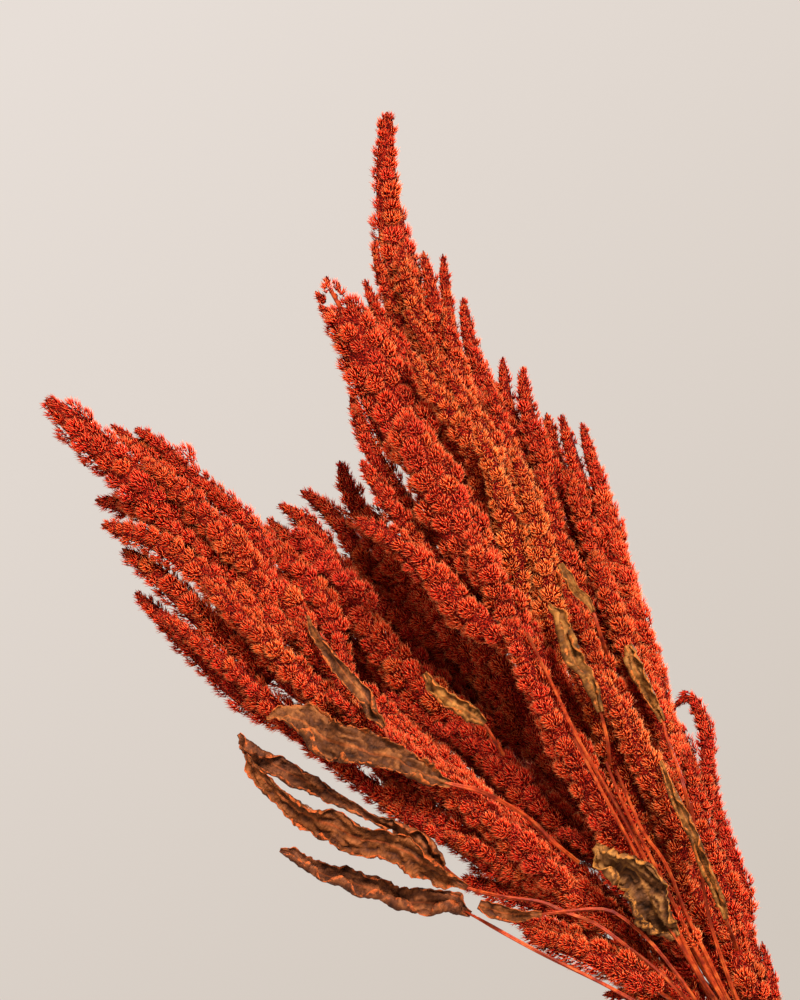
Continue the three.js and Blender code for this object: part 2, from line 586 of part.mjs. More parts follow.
// A leaf: a thin waved blade, split into triangles alike on both faces, and the petiole that runs on from it
function leafMesh({ name, depth, blade, petiole }, obstacles) {
  const centre = along(blade, LEAF_PITCH);
  const widths = centre.map((point) => point.y);
  centre.forEach((point) => point.setY(0));
  const rows = centre.length;
  const columns = [-1, 0, 1];
  const across = centre.map((_, i) => {
    const ahead = centre[Math.max(0, i - 1)];
    const behind = centre[Math.min(rows - 1, i + 1)];
    const run = new THREE.Vector3().subVectors(behind, ahead).normalize();
    return new THREE.Vector3(-run.z, 0, run.x);
  });
  const places = centre.map((point, i) => (
    columns.map((column) => point.clone().addScaledVector(across[i], column * widths[i]))
  ));
  const depths = layOver(places.map((row) => (
    Math.min(depth, ...row.map((place) => frontOf(obstacles, place.x, place.z, LEAF_ROOM)))
  )));
  places.forEach((row, i) => row.forEach((place, j) => {
    const wave = WAVE_HEIGHT * Math.sin(i * WAVE_RATES[0] + j * WAVE_RATES[1]);
    const droop = Math.abs(columns[j]) * widths[i] * LEAF_DROOP;
    place.y = depths[i] - droop + wave * Math.min(1, widths[i] / WAVE_WIDTH);
  }));
  const body = bladeSolid(places);
  const path = along([blade[blade.length - 1].slice(0, 2), ...petiole], PETIOLE_PITCH);
  const room = PETIOLE_RADIUS + PETIOLE_ROOM;
  const laid = layOver(path.map(({ x, z }) => Math.min(depth, frontOf(obstacles, x, z, room))));
  const last = places[rows - 1][1];
  const stalk = path.slice(1).map((point, i) => new THREE.Vector3(point.x, laid[i + 1], point.z));
  const run = [places[rows - 2][1], last, ...stalk];
  const radii = run.map((_, i) => (i === 0 ? PETIOLE_ROOT : PETIOLE_RADIUS));
  places.flat().forEach((point) => obstacles.push({ point, radius: LEAF_CLAIM }));
  run.forEach((point) => obstacles.push({ point, radius: LEAF_CLAIM }));
  return toMesh(name, mainBody(body.add(stemSolid(run, radii, PETIOLE_SIDES, 1))), finish(0x96552a, 0.85));
}

function bladeSolid(places) {
  const [rows, columns] = [places.length, places[0].length];
  const vertices = [-1, 1].flatMap((face) => (
    places.flat().map(({ x, y, z }) => [x, y + (face * LEAF_THICKNESS) / 2, z])
  ));
  const at = (face, i, j) => (face * rows + i) * columns + j;
  const triangles = [];
  const quad = (a, b, c, d) => triangles.push(a, c, b, a, d, c);
  for (let i = 0; i < rows - 1; i += 1) {
    for (let j = 0; j < columns - 1; j += 1) {
      quad(at(0, i, j), at(0, i, j + 1), at(0, i + 1, j + 1), at(0, i + 1, j));
      quad(at(1, i, j), at(1, i + 1, j), at(1, i + 1, j + 1), at(1, i, j + 1));
    }
    quad(at(0, i, 0), at(0, i + 1, 0), at(1, i + 1, 0), at(1, i, 0));
    quad(at(0, i + 1, columns - 1), at(0, i, columns - 1), at(1, i, columns - 1), at(1, i + 1, columns - 1));
  }
  for (let j = 0; j < columns - 1; j += 1) {
    quad(at(0, 0, j + 1), at(0, 0, j), at(1, 0, j), at(1, 0, j + 1));
    quad(at(0, rows - 1, j), at(0, rows - 1, j + 1), at(1, rows - 1, j + 1), at(1, rows - 1, j));
  }
  return solid(vertices.flat(), triangles);
}

// A plain jar: a flat foot, a full belly, a short neck and a rounded rim
function vaseMesh() {
  const belly = new THREE.CatmullRomCurve3([
    [FOOT_RADIUS, EDGE],
    [BELLY_RADIUS - 5, 0.2 * VASE_HEIGHT],
    [BELLY_RADIUS, 0.41 * VASE_HEIGHT],
    [0.8 * BELLY_RADIUS, 0.67 * VASE_HEIGHT],
    [NECK_RADIUS, 0.84 * VASE_HEIGHT],
    [NECK_RADIUS, 0.93 * VASE_HEIGHT],
    [RIM_RADIUS, VASE_HEIGHT - EDGE],
  ].map(([radius, height]) => new THREE.Vector3(radius, height, 0)));
  const outside = belly.getPoints(VASE_RINGS).map((point) => new THREE.Vector2(point.x, point.y));
  const inside = belly.getPoints(HOLLOW_RINGS)
    .map((point) => new THREE.Vector2(point.x - VASE_WALL, Math.max(point.y, VASE_FLOOR)))
    .reverse();
  const profile = [
    new THREE.Vector2(0, 0),
    new THREE.Vector2(FOOT_RADIUS - EDGE, 0),
    ...outside,
    new THREE.Vector2(RIM_RADIUS - EDGE, VASE_HEIGHT),
    new THREE.Vector2(RIM_RADIUS - VASE_WALL + EDGE, VASE_HEIGHT),
    ...inside,
    new THREE.Vector2(0, VASE_FLOOR),
  ];
  const jar = new THREE.LatheGeometry(profile, VASE_SIDES);
  jar.rotateX(Math.PI / 2);
  const mesh = new THREE.Mesh(jar, finish(0xcfc4b4, 0.7));
  mesh.name = 'vase';
  return mesh;
}

const plants = [...PLANTS, ...BACK_PLANTS.map(backPlant)];
const strands = plants.flatMap(plantStrands);
settle(strands);

const amaranth = new THREE.Group();
amaranth.add(vaseMesh());
plants.forEach((plant, index) => {
  amaranth.add(plantMesh(plant, strands.filter((strand) => strand.plant === index)));
});

// What the leaves lie on: the strands, as points a third of a step apart
const obstacles = strands.flatMap(({ points, radii }) => points.slice(1).flatMap((point, i) => (
  [0, 1 / 3, 2 / 3].map((share) => ({
    point: points[i].clone().lerp(point, share),
    radius: THREE.MathUtils.lerp(radii[i], radii[i + 1], share),
  }))
)));
LEAVES.forEach((one) => amaranth.add(leafMesh(one, obstacles)));

export default amaranth;
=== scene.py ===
import math

import bmesh
import bpy
import numpy as np
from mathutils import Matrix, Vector
from mathutils.bvhtree import BVHTree


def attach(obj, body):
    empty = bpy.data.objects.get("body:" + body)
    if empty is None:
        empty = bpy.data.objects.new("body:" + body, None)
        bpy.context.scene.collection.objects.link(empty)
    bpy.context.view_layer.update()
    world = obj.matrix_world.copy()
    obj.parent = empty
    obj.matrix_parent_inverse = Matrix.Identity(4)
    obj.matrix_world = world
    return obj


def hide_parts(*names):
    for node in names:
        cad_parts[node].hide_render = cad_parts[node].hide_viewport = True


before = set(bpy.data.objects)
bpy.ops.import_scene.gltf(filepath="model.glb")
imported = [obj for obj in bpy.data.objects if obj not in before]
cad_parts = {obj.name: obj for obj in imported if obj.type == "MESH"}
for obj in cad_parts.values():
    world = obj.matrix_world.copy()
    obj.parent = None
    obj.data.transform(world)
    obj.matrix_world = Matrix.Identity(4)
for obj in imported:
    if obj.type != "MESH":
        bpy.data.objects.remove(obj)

MM = 0.001
SEED = 7
rng = np.random.default_rng(SEED)

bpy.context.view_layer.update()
BODY = "root"

# The vase
VASE_HEIGHT = 190
VASE_FLOOR = 12
VASE_WALL = 8
FOOT_RADIUS = 58
BELLY_RADIUS = 79
NECK_RADIUS = 42
RIM_RADIUS = 46
EDGE = 3  # rounding at the foot and the rim
VASE_PROFILE = [
    # from the foot up: the radius, and how high it is as a share of the vase's height
    (BELLY_RADIUS - 5, 0.2),
    (BELLY_RADIUS, 0.41),
    (0.8 * BELLY_RADIUS, 0.67),
    (NECK_RADIUS, 0.84),
    (NECK_RADIUS, 0.93),
]
VASE_PITCH = 6  # from one ring of faces to the next
VASE_STEPS = 96  # round the jar

# Stems and stalks
STEM_RADIUS = 2.7
STEM_TAPER = 12  # points from a stem's tip to where it is full
STALK_RADIUS = 1.5
BARE_RADIUS = 2
BARE_THIN = 0.5  # how thick a bare stalk starts, as a share of what it becomes
BARE_LIFT = 34  # how far bare stalks stand in front of their plant
JOIN_RUN = 30  # how far along the stem a stalk joins it, at least
JOIN_SLOPE = 1.5  # and how far for each millimetre between them
TUBE_PITCH = 5  # from one ring of a stem to the next
TUBE_ROUNDNESS = 1  # the bevel's resolution
STEM_SHARE = 0.72  # how thick a dried stem is for its solid
STRANDS = 3  # that a ribbed stem is made of
STRAND_TWIST = 0.03  # how fast they turn round each other, in radians for each millimetre
STRAND_THICK = (0.5, 0.66)  # how thick one is, as a share of the stem
BARED_RUN = (0.3, 1.3)  # from where to where a stalk shows at a tip that has lost its flowers, as shares
BARED_RINGS = 4

# Flower tails of the solids
BUD_PITCH = 12  # from one point of a tail or stalk to the next
BACK_PITCH = 12.5
TAIL_TIP = 0.35  # how thick a tail is at its tip and its foot, as shares
TAIL_FOOT = 0.6

# How the plants settle beside each other in depth
PLANT_GAP = 1.1
SNUG = 0.92  # how close the tails of one plant come, as a share of their radii
SETTLE_ROUNDS = 400
LOOSE_SHARE = 0.8  # the share of the rounds in which the tails stay supple
LOOSE = 0.5  # how far a point goes towards its neighbours in a round, first and at the end
FIRM = 0.15
FULL_SPREAD = 180  # further than this from the mouth, tails stand out in depth in full

# The mouth of the vase, where the plants fan out
MOUTH = (-12, VASE_HEIGHT)
STEM_END = (24, VASE_FLOOR + 1)
END_SPREAD = 1.3  # how much further apart the stems are there than in the mouth
END_STEPS = 5

# Tails: how full they are for their solids. They narrow to a blunt point over a few TIP_RUN, as if they
# ended TIP_START further on.
TAIL_FULLER = 1.02
TIP_START = 1.5
TIP_RUN = 2.0

# Round tufts in rings along each tail, and the bracts that cover them
TUFT_SHARE = 0.64  # a tuft's radius, as a share of the tail's
TUFT_LEAST = 2
TUFT_MOST = 5.6
TUFT_SIZES = (0.8, 1.2)  # from the smallest to the largest of a ring
TUFT_OUT = (0.85, 1.2)  # how far out it sits, as a share of its place
TUFT_SINK = 0.8  # how far inside the tail's outline a tuft's middle is, in tuft radii
TUFT_STEP = 1.44  # from one tuft to the next, in tuft radii
TUFT_LEAN = 0.6  # how far a tuft leans towards the tail's tip
TIP_LEAN = 1.5  # how much further it leans at the tip, and how much less it points outwards
TIP_INWARD = 0.8
TIP_REACH = (1.6, 2)  # where that begins: tail radii from the tip, and millimetres more
TUFT_STRAY = 0.12
TINT_STRAY = 0.2
RING_FEWEST = 3
RING_TILT = 0.3
RING_STRAY = (0.12, 0.2)  # how far a tuft strays in its ring: in rings along, and in radians round
CORE_SHARE = 0.33  # how far into the tufts a tail's core reaches, in tuft radii
CORE_END = 0.3  # how thick its first and last rings are, as a share
GOLDEN_ANGLE = math.radians(137.5)
BRACT_DOME = 1.3  # how far down a tuft bracts go: 1 is half way
TUFT_PEEPS = [(1.5, 0), (3.5, 0), (1.5, 0.9), (1.5, -0.9)]  # where it is looked for, outside and beside
BRACT_DEEP = 2.7  # how far inside the tuft a bract starts
BRACT_PROUD = (-0.3, 2.2)  # how far outside it ends
BRACT_ROOM = (0.1, 2.5)  # the share of that beside the next tuft, and how clear of it gives all of it
BRACT_WIDTHS = (0.8, 1.2)  # from the narrowest to the widest, as shares
BRACT_LEAN = 0.85  # how far bracts lean towards the tail's tip
BRACT_FLAT = 0.6
BRACT_STRAY = (0.06, 0.25)  # how far bracts stray from their place on the tuft, and from their way
BRACT_CLEAR = 0.1  # bracts nearer than this to the next tuft are left out
HALF_HIDDEN = (0.1, 0.7)  # tufts less open to the front than this have fewer bracts
HIDDEN_SHARE = 0.4
FACING = 0.3  # bracts that turn further than this from the viewer are fewer and wider
FRONT_BRACTS, FRONT_WIDTH = 0.61, 0.85  # for each square millimetre, and how wide
SIDE_BRACTS, SIDE_WIDTH = 0.12, 1.9  # the same for those
STALK_TUFTS = 5.2  # radius of the flowers along a stalk
STALK_FULL = 0.8  # how full they are where the tail ends, as a share of its radius
STEM_TUFTS = 6.5  # and along a main stem
STALK_BARE = 100  # nearer the mouth than this, stalks are bare
STEM_BARE = 125

# What makes a bract bright: its tuft's and its own luck, and painted shade and light: it is darker the
# nearer it stands to the next tuft and the less open its tuft is to the front, and lighter the more its tuft
# turns to the front or the back, as painted light on the tails' crests with painted shade on their sides
TONE_TUFT = 0.16
TONE_OWN = 0.14
CREVICE_SHADE = 0.38
HIDDEN_SHADE = 0.12
CREST_LIGHT = 0.2
CREST_START, CREST_SLOPE = 0.2, 1.1
BACK_OPEN = 0.6  # what tufts at the back count as
CLEAR_FULL = 2.6  # a bract that stands so far from the next tuft is clear

# The camera's view: the photo's frame is 800 x 1000 pixels of half a millimetre
VIEW_CENTRE = (-207.5, 505)
VIEW_HEIGHT = 500
VIEW_DISTANCE = 4000
SENSOR = 36


# A flower tail in the front view: its tip, middle and foot as (x, z), its radius, and how far it stands
# towards the viewer from its plant. A taper of 1 is a plain cone, a smaller one is fuller near the tip.
# tint is its colour: 0 the usual red-orange, up to 1 paler tan-orange, down to -1 crimson. full is how
# full its flowers are for its solid, and bare how much of its tip has lost them, in millimetres.
def tail(tip, middle, foot, radius, lift, taper=0.5, tint=0.0, full=1, bare=0):
    return dict(tip=tip, middle=middle, foot=foot, radius=radius, lift=lift, taper=taper, tint=tint,
                full=full, bare=bare)


# Bare stalks that run down the front of the bunch to the mouth, side by side, as (x, z) from the top down
BARE_STALKS = [
    [(-145, 440), (-133, 415), (-120, 388), (-104, 360), (-90, 335), (-76, 305), (-60, 272), (-38, 232)],
    [(-122, 388), (-106, 358), (-91, 330), (-79, 306), (-66, 280), (-52, 258), (-33, 228)],
    [(-106, 376), (-95, 350), (-82, 325), (-71, 303), (-60, 280), (-46, 255), (-28, 226)],
    [(-101, 372), (-88, 342), (-76, 325), (-66, 300), (-55, 278), (-42, 252), (-24, 224)],
    [(-64, 356), (-60, 330), (-55, 300), (-48, 278), (-38, 252), (-22, 222)],
]

# Each plant: its place in the mouth as (x, y), how far it fans out in depth for each millimetre from the
# mouth, its main stem from the tip down, and its flower tails. The first tail ends the main stem.
PLANTS = [
    dict(
        name="plant_top",
        mouth=(-12, 0),
        fan=0.03,
        stem=[(-214, 699), (-213, 655), (-205, 615), (-182, 572), (-152, 515), (-120, 455), (-88, 385),
              (-58, 325), (-34, 275), (-20, 235)],
        tails=[
            tail((-214, 700), (-214, 660), (-206, 618), 10.5, 0, 1, full=1.14),
            tail((-206, 628), (-192, 582), (-170, 545), 10, 0, tint=0.25),
            tail((-220, 635), (-218, 621), (-208, 600), 6, 16, tint=0.2, full=0.8),
            tail((-206, 635), (-206, 618), (-196, 592), 6, 24, tint=0.4),
            tail((-196, 630), (-192, 612), (-186, 585), 5.5, 8, tint=0.1),
            tail((-186, 629), (-184, 605), (-178, 572), 5.5, -12),
            tail((-184, 602), (-182, 582), (-172, 550), 6.5, 16, tint=0.3),
            tail((-176, 607), (-172, 582), (-160, 545), 6.5, -8, tint=-0.1),
            tail((-156, 577), (-154, 555), (-144, 520), 6.5, -4),
            tail((-146, 572), (-144, 550), (-132, 512), 7, 8, tint=-0.1),
            tail((-164, 566), (-158, 545), (-148, 510), 7, 16, tint=0.1),
            tail((-134, 549), (-130, 528), (-116, 485), 7.5, 0),
            tail((-205, 600), (-195, 582), (-180, 552), 6, 28, tint=0.5),
        ],
    ),
    dict(
        name="plant_second",
        bare_stalks=BARE_STALKS,
        mouth=(-11, -18),
        fan=-0.045,
        stem=[(-240, 610), (-226, 580), (-205, 540), (-182, 500), (-158, 457), (-135, 420), (-112, 382),
              (-90, 340), (-70, 298), (-48, 260), (-29, 225)],
        tails=[
            tail((-244, 613), (-226, 580), (-200, 532), 18, 0, 0.6, tint=-0.1, bare=15),
            tail((-207, 545), (-188, 510), (-166, 470), 17, 4, tint=0.05),
            tail((-225, 615), (-218, 596), (-203, 570), 5.5, -16),
            tail((-232, 559), (-222, 530), (-198, 495), 7, -4),
            tail((-204, 580), (-192, 560), (-170, 526), 6.5, 16, tint=0.5),
            tail((-188, 577), (-176, 552), (-160, 522), 7, 8, tint=0.5),
            tail((-170, 542), (-160, 515), (-150, 475), 7.5, 28, tint=1),
            tail((-152, 531), (-142, 500), (-132, 452), 8, 20, tint=0.9),
            tail((-174, 490), (-158, 455), (-133, 415), 11, 20),
            tail((-155, 447), (-134, 400), (-100, 342), 10.5, 28, tint=0.1),
            tail((-128, 466), (-112, 430), (-94, 385), 8, -8, tint=0.2),
            tail((-112, 421), (-90, 382), (-70, 340), 9, 36, tint=0.4),
            tail((-230, 495), (-204, 480), (-170, 446), 9, 20),
            tail((-110, 354), (-92, 325), (-66, 288), 8.5, 20),
            tail((-227, 525), (-212, 502), (-182, 466), 7.5, 2),
            tail((-122, 428), (-108, 394), (-92, 358), 8, 22, tint=0.6),
        ],
    ),
    dict(
        name="plant_left",
        mouth=(-22, -5),
        fan=-0.02,
        stem=[(-384, 555), (-352, 528), (-308, 482), (-258, 435), (-208, 392), (-158, 350), (-108, 310),
              (-62, 270), (-37, 232)],
        tails=[
            tail((-384, 555), (-363, 537), (-330, 505), 12, 4, 0.35, tint=-0.2),
            tail((-352, 543), (-340, 532), (-322, 512), 6, -6),
            tail((-340, 536), (-315, 519), (-280, 488), 8, -12, full=0.85),
            tail((-336, 525), (-318, 510), (-286, 476), 8, 12, tint=0.2),
            tail((-360, 505), (-335, 499), (-304, 477), 8.5, -8, 0.3),
            tail((-356, 493), (-325, 482), (-284, 450), 8.5, 16, 0.3, tint=0.2),
            tail((-346, 481), (-325, 465), (-288, 432), 8.5, 4, 0.35, tint=0.1, full=1.1),
            tail((-340, 459), (-312, 432), (-270, 398), 7.5, -8, tint=-0.1, full=1.15),
            tail((-316, 506), (-295, 485), (-260, 450), 7.5, 4),
            tail((-306, 466), (-275, 435), (-234, 396), 8.5, 24, tint=0.2),
            tail((-286, 498), (-270, 480), (-244, 450), 8, -16),
            tail((-328, 450), (-292, 422), (-244, 382), 7.5, 8),
            tail((-260, 446), (-248, 426), (-222, 394), 8.5, 20, tint=0.15),
            tail((-232, 435), (-192, 395), (-148, 355), 9, -34, tint=-0.2),
            tail((-258, 428), (-222, 400), (-180, 366), 8.5, -2),
        ],
    ),
    dict(
        name="plant_middle",
        mouth=(-19, 7),
        fan=0.07,
        stem=[(-236, 520), (-208, 475), (-180, 435), (-148, 390), (-112, 345), (-80, 302), (-52, 267),
              (-33, 232)],
        tails=[
            tail((-238, 525), (-231, 505), (-212, 476), 7, 4, full=1.2),
            tail((-269, 503), (-252, 491), (-228, 458), 6.5, 0, full=1.25),
            tail((-275, 496), (-262, 482), (-244, 456), 5.5, -12, full=1.3),
            tail((-258, 510), (-242, 498), (-218, 468), 6.5, -8, full=1.2),
            tail((-255, 477), (-230, 448), (-190, 405), 10, 24),
            tail((-200, 416), (-164, 378), (-116, 332), 10.5, 24, tint=-0.1),
            tail((-235, 476), (-210, 445), (-180, 402), 9, -4, tint=-0.3),
            tail((-208, 437), (-178, 405), (-140, 357), 9, -16, tint=-0.3),
            tail((-158, 476), (-152, 462), (-138, 425), 8, 0),
            tail((-192, 477), (-172, 445), (-146, 402), 9, 8),
            tail((-162, 435), (-142, 400), (-122, 360), 8.5, -4, tint=-0.2),
            tail((-128, 372), (-108, 335), (-82, 300), 8.5, 6, tint=-0.1),
        ],
    ),
    dict(
        name="plant_right",
        mouth=(-5, -9),
        fan=0.02,
        stem=[(-116, 543), (-108, 505), (-94, 460), (-80, 415), (-68, 370), (-56, 325), (-42, 285),
              (-29, 250), (-17, 220)],
        tails=[
            tail((-117, 544), (-111, 522), (-99, 482), 6, 0, tint=-0.1),
            tail((-104, 498), (-93, 460), (-80, 415), 7, -6),
            tail((-125, 521), (-114, 490), (-100, 450), 7.5, 8, tint=0.1),
            tail((-138, 521), (-130, 490), (-113, 450), 7.5, 4, tint=0.2),
            tail((-112, 480), (-99, 445), (-82, 400), 8, 12, tint=0.2),
            tail((-85, 436), (-77, 405), (-66, 366), 6.5, 4),
            tail((-73, 399), (-62, 406), (-54, 380), 5, 0, tint=-0.3),
            tail((-54, 398), (-51, 355), (-35, 302), 8, 0, tint=-0.3, full=0.78),
            tail((-64, 381), (-58, 345), (-44, 308), 7, 12, tint=0.1),
            tail((-27, 285), (-23, 268), (-17, 240), 4.5, 4, tint=-0.2),
            tail((-58, 321), (-44, 288), (-30, 254), 9, 6, tint=0.3),
            tail((-40, 306), (-32, 280), (-23, 247), 6.5, 4, tint=0.1),
            tail((-82, 372), (-70, 336), (-56, 300), 8.5, 20, tint=0.2),
            tail((-127, 548), (-118, 516), (-104, 480), 6.5, -6),
        ],
    ),
    dict(
        name="plant_lower",
        mouth=(-19, -14),
        fan=-0.07,
        stem=[(-265, 394), (-232, 371), (-192, 348), (-148, 320), (-108, 295), (-72, 267), (-46, 232)],
        tails=[
            tail((-272, 399), (-235, 372), (-196, 344), 8, 0, tint=-0.1, full=0.9),
            tail((-218, 391), (-182, 362), (-140, 328), 8.5, 16),
            tail((-244, 411), (-208, 382), (-166, 353), 8, 4),
            tail((-186, 340), (-150, 324), (-110, 304), 8, 12, tint=0.1),
            tail((-147, 291), (-118, 282), (-80, 262), 10, 20, 0.3, tint=0.15, full=0.95),
            tail((-128, 293), (-98, 279), (-62, 255), 9, -4),
            tail((-107, 259), (-82, 259), (-56, 244), 7.5, 8, tint=0.1),
            tail((-110, 322), (-88, 305), (-60, 270), 8, 4, tint=-0.2),
            tail((-130, 341), (-108, 330), (-76, 296), 8, -4, tint=-0.2),
            tail((-104, 287), (-80, 270), (-57, 248), 7.5, 16),
            tail((-222, 373), (-195, 352), (-168, 328), 8, -6, tint=-0.2),
            tail((-172, 326), (-142, 311), (-106, 298), 7.5, -6),
            tail((-92, 304), (-76, 281), (-60, 257), 7.5, 4),
        ],
    ),
]

# Small tails and knobs of flowers beside those of the solids: the plant, then the tip, middle and foot as
# (x, z), the radius, how far behind the plant's nearest tails it lies, and the tint
FILLERS = [
    ("plant_second", (-244, 616), (-243.5, 614), (-243, 611), 2.9, 0, 0),
    ("plant_second", (-238, 613), (-238, 611), (-237.5, 608), 2.7, -2, 0.1),
    ("plant_second", (-249.5, 608.5), (-247.5, 606), (-245, 602.5), 3.6, 2, 0),
    ("plant_second", (-247.5, 602), (-244.5, 599), (-240, 595), 4, 0, 0),
    ("plant_second", (-234.5, 606), (-231.5, 601), (-228, 594), 4.4, 2, 0.1),
    ("plant_left", (-340, 541), (-333, 536), (-318, 524), 5.5, 4, -0.2),
    ("plant_left", (-322, 464), (-300, 443), (-272, 414), 7.5, 6, -0.1),
    ("plant_left", (-262, 490), (-246, 474), (-226, 452), 8, 8, -0.3),
    ("plant_left", (-216, 410), (-200, 397), (-184, 384), 6, 4, -0.1),
    ("plant_second", (-128, 420), (-120, 403), (-110, 384), 6, 5, 0),
    ("plant_right", (-60, 296), (-53, 278), (-43, 254), 7, 4, 0),
    ("plant_lower", (-232, 384), (-212, 372), (-190, 354), 6, 6, -0.2),
    ("plant_lower", (-202, 371), (-181, 353), (-158, 333), 6.5, 5, -0.2),
    ("plant_lower", (-178, 316), (-142, 306), (-106, 292), 8, 6, -0.1),
    ("plant_lower", (-154, 299), (-132, 292), (-104, 279), 6.5, 4, 0.1),
]

# Dry leaves on the front of the bunch. Each has its blade as (x, z, half width) from the tip to the
# petiole, the petiole's (x, z) points, and how it has dried: how far its edges roll over, in degrees, how
# high its wrinkles stand in millimetres, how ragged its edges are, its colours, which way it twists, and
# how much paler its tip is.
def leaf(name, blade, petiole, roll, wrinkle, ragged, look, turn=1, pale=0, stalk=0.95):
    return dict(name=name, blade=blade, petiole=petiole, roll=roll, wrinkle=wrinkle, ragged=ragged,
                look=look, turn=turn, pale=pale, stalk=stalk)


LEAVES = [
    leaf("leaf_folded", [(-253.5, 448, 0.6), (-250, 440, 1.8), (-243.5, 431, 2.5), (-237.5, 423, 3.5),
         (-230, 414, 4), (-223.5, 406.5, 4), (-219.5, 399, 3), (-215.5, 393, 1.6)],
         [(-213, 386), (-209, 376), (-203, 368)], 160, 0.7, 0.06, "brown"),
    leaf("leaf_long", [(-273.5, 397, 0.6), (-265, 398, 3), (-255, 395, 7), (-245, 387.5, 10),
         (-232.5, 384, 10), (-220, 380, 7.5), (-207.5, 376.5, 6.5), (-195, 369, 4.5), (-182.5, 365, 2)],
         [(-167, 361), (-147, 350), (-132, 336), (-119, 325)], 112, 1.25, 0.05, "brown", -1, 0.4, 1.2),
    leaf("leaf_narrow", [(-287.5, 389, 1), (-280, 380, 4), (-271.5, 374.5, 5.5), (-260, 368.5, 5.5),
         (-250, 364.5, 4), (-240, 358.5, 3), (-230, 353.5, 2.4), (-220, 348, 1.8), (-210, 344.5, 3),
         (-200, 338, 5), (-192, 331, 5), (-186, 324, 1.6)],
         [(-180, 318), (-168, 309)], 180, 1.0, 0.08, "dark"),
    leaf("leaf_low", [(-267, 331.5, 1), (-261.5, 329.5, 3), (-255, 324.5, 3), (-246.5, 320, 4.5),
         (-237.5, 317.5, 4.8), (-227.5, 314, 6.3), (-217.5, 310.5, 5.5), (-208.5, 306, 5),
         (-197.5, 305.5, 7), (-187.5, 305, 6.5), (-180, 303, 4), (-172.5, 299.5, 1.6)],
         [(-160, 293), (-137.5, 281), (-107.5, 266), (-78, 250), (-55, 238)], 175, 1.1, 0.07, "dark", -1),
    leaf("leaf_broad", [(-284, 379, 1), (-278, 370, 3), (-270, 361.5, 4), (-260, 353.5, 4.5),
         (-250, 347.5, 6.5), (-240, 344, 8.5), (-229, 338, 7.5), (-216.5, 336, 7.5), (-204, 331, 8),
         (-192.5, 323.5, 5.5), (-182.5, 318, 3), (-174.5, 313.5, 1.6)],
         [(-157.5, 309), (-137.5, 306), (-126, 301), (-112, 296), (-100, 288), (-80, 272), (-58, 250)],
         125, 1.1, 0.06, "red"),
    leaf("leaf_strip", [(-168.5, 305.5, 2.5), (-162.5, 303, 4), (-155, 301, 4), (-147.5, 300.5, 2.6),
         (-137.5, 300.5, 1.6)],
         [(-125, 302), (-108, 303), (-98, 299), (-84, 287), (-70, 270), (-56, 250)], 120, 0.6, 0.05, "red"),
    leaf("leaf_middle", [(-195.5, 419, 1.5), (-190.5, 413, 3), (-183.5, 407, 3.5), (-176.5, 402, 4.5),
         (-170.5, 398, 4), (-165.5, 394, 1.8)],
         [(-161.5, 387.5), (-156, 378)], 195, 1.2, 0.08, "tan"),
    leaf("leaf_tan", [(-134, 453.5, 1), (-129.5, 446, 3.2), (-126, 436, 4.5), (-122.5, 427.5, 5),
         (-117.5, 419, 3.5), (-112.5, 410, 3), (-109, 401, 1.8)],
         [(-105.5, 387.5), (-104, 375)], 215, 1.0, 0.05, "tan", -1, 0.3),
    leaf("leaf_small", [(-128.5, 473.5, 1.4), (-124.5, 467.5, 2.6), (-120.5, 461, 2.2), (-115.5, 456, 2.2),
         (-112, 450, 1.4)],
         [(-109, 440), (-105, 429)], 150, 0.6, 0.1, "tan"),
    leaf("leaf_right", [(-94.5, 433, 2), (-92.5, 427.5, 4), (-90.5, 421, 4.5), (-87, 416, 3.5),
         (-83.5, 410, 3), (-80.5, 402.5, 2.5), (-77, 395, 1.6)],
         [(-75.5, 387.5), (-70, 372), (-64, 350)], 200, 1.0, 0.08, "tan", 1, 0.3),
    leaf("leaf_stripe", [(-79, 376.5, 1), (-73.5, 362.5, 2), (-68.5, 351, 3), (-62, 338, 2.6),
         (-57.5, 325, 3), (-50, 310, 2.5), (-46.5, 298, 1.5)],
         [(-43, 290), (-39, 280)], 220, 0.6, 0.04, "tan"),
    leaf("leaf_crumpled", [(-111.5, 334, 2), (-105, 329, 6), (-96.5, 325, 7.5), (-88.5, 318, 10),
         (-84, 309, 11), (-78.5, 299, 7.5), (-71.5, 289, 3)],
         [(-66, 281), (-58, 268), (-50, 256)], 165, 1.8, 0.07, "olive", 1, 0.6),
]

# The far side of the bunch: plants like the ones in front, a little shorter and turned by so many degrees
# in the front view about the mouth. They keep every second tail, which is fuller.
BARE_REACH = 95  # nearer the mouth than this, they have no tails
BACK_FULLER = 1.2
BACK_LARGEST = 15
BACK_LIFTS = [0, -16, 14, -6, 22, -24, 8]
BACK_PLANTS = [
    dict(name="plant_back_top", like="plant_top", mouth=(-7, 12), fan=0.14, turn=2, size=0.9),
    dict(name="plant_back_left", like="plant_left", mouth=(-25, 11), fan=0.13, turn=-1, size=0.88),
    dict(name="plant_back_right", like="plant_right", mouth=(-2, 5), fan=0.13, turn=3, size=0.93),
    dict(name="plant_back_middle", like="plant_second", mouth=(-8, 21), fan=0.24, turn=-5, size=0.9),
    dict(name="plant_back_low", like="plant_left", mouth=(-15, 16), fan=0.2, turn=-9, size=0.72),
]


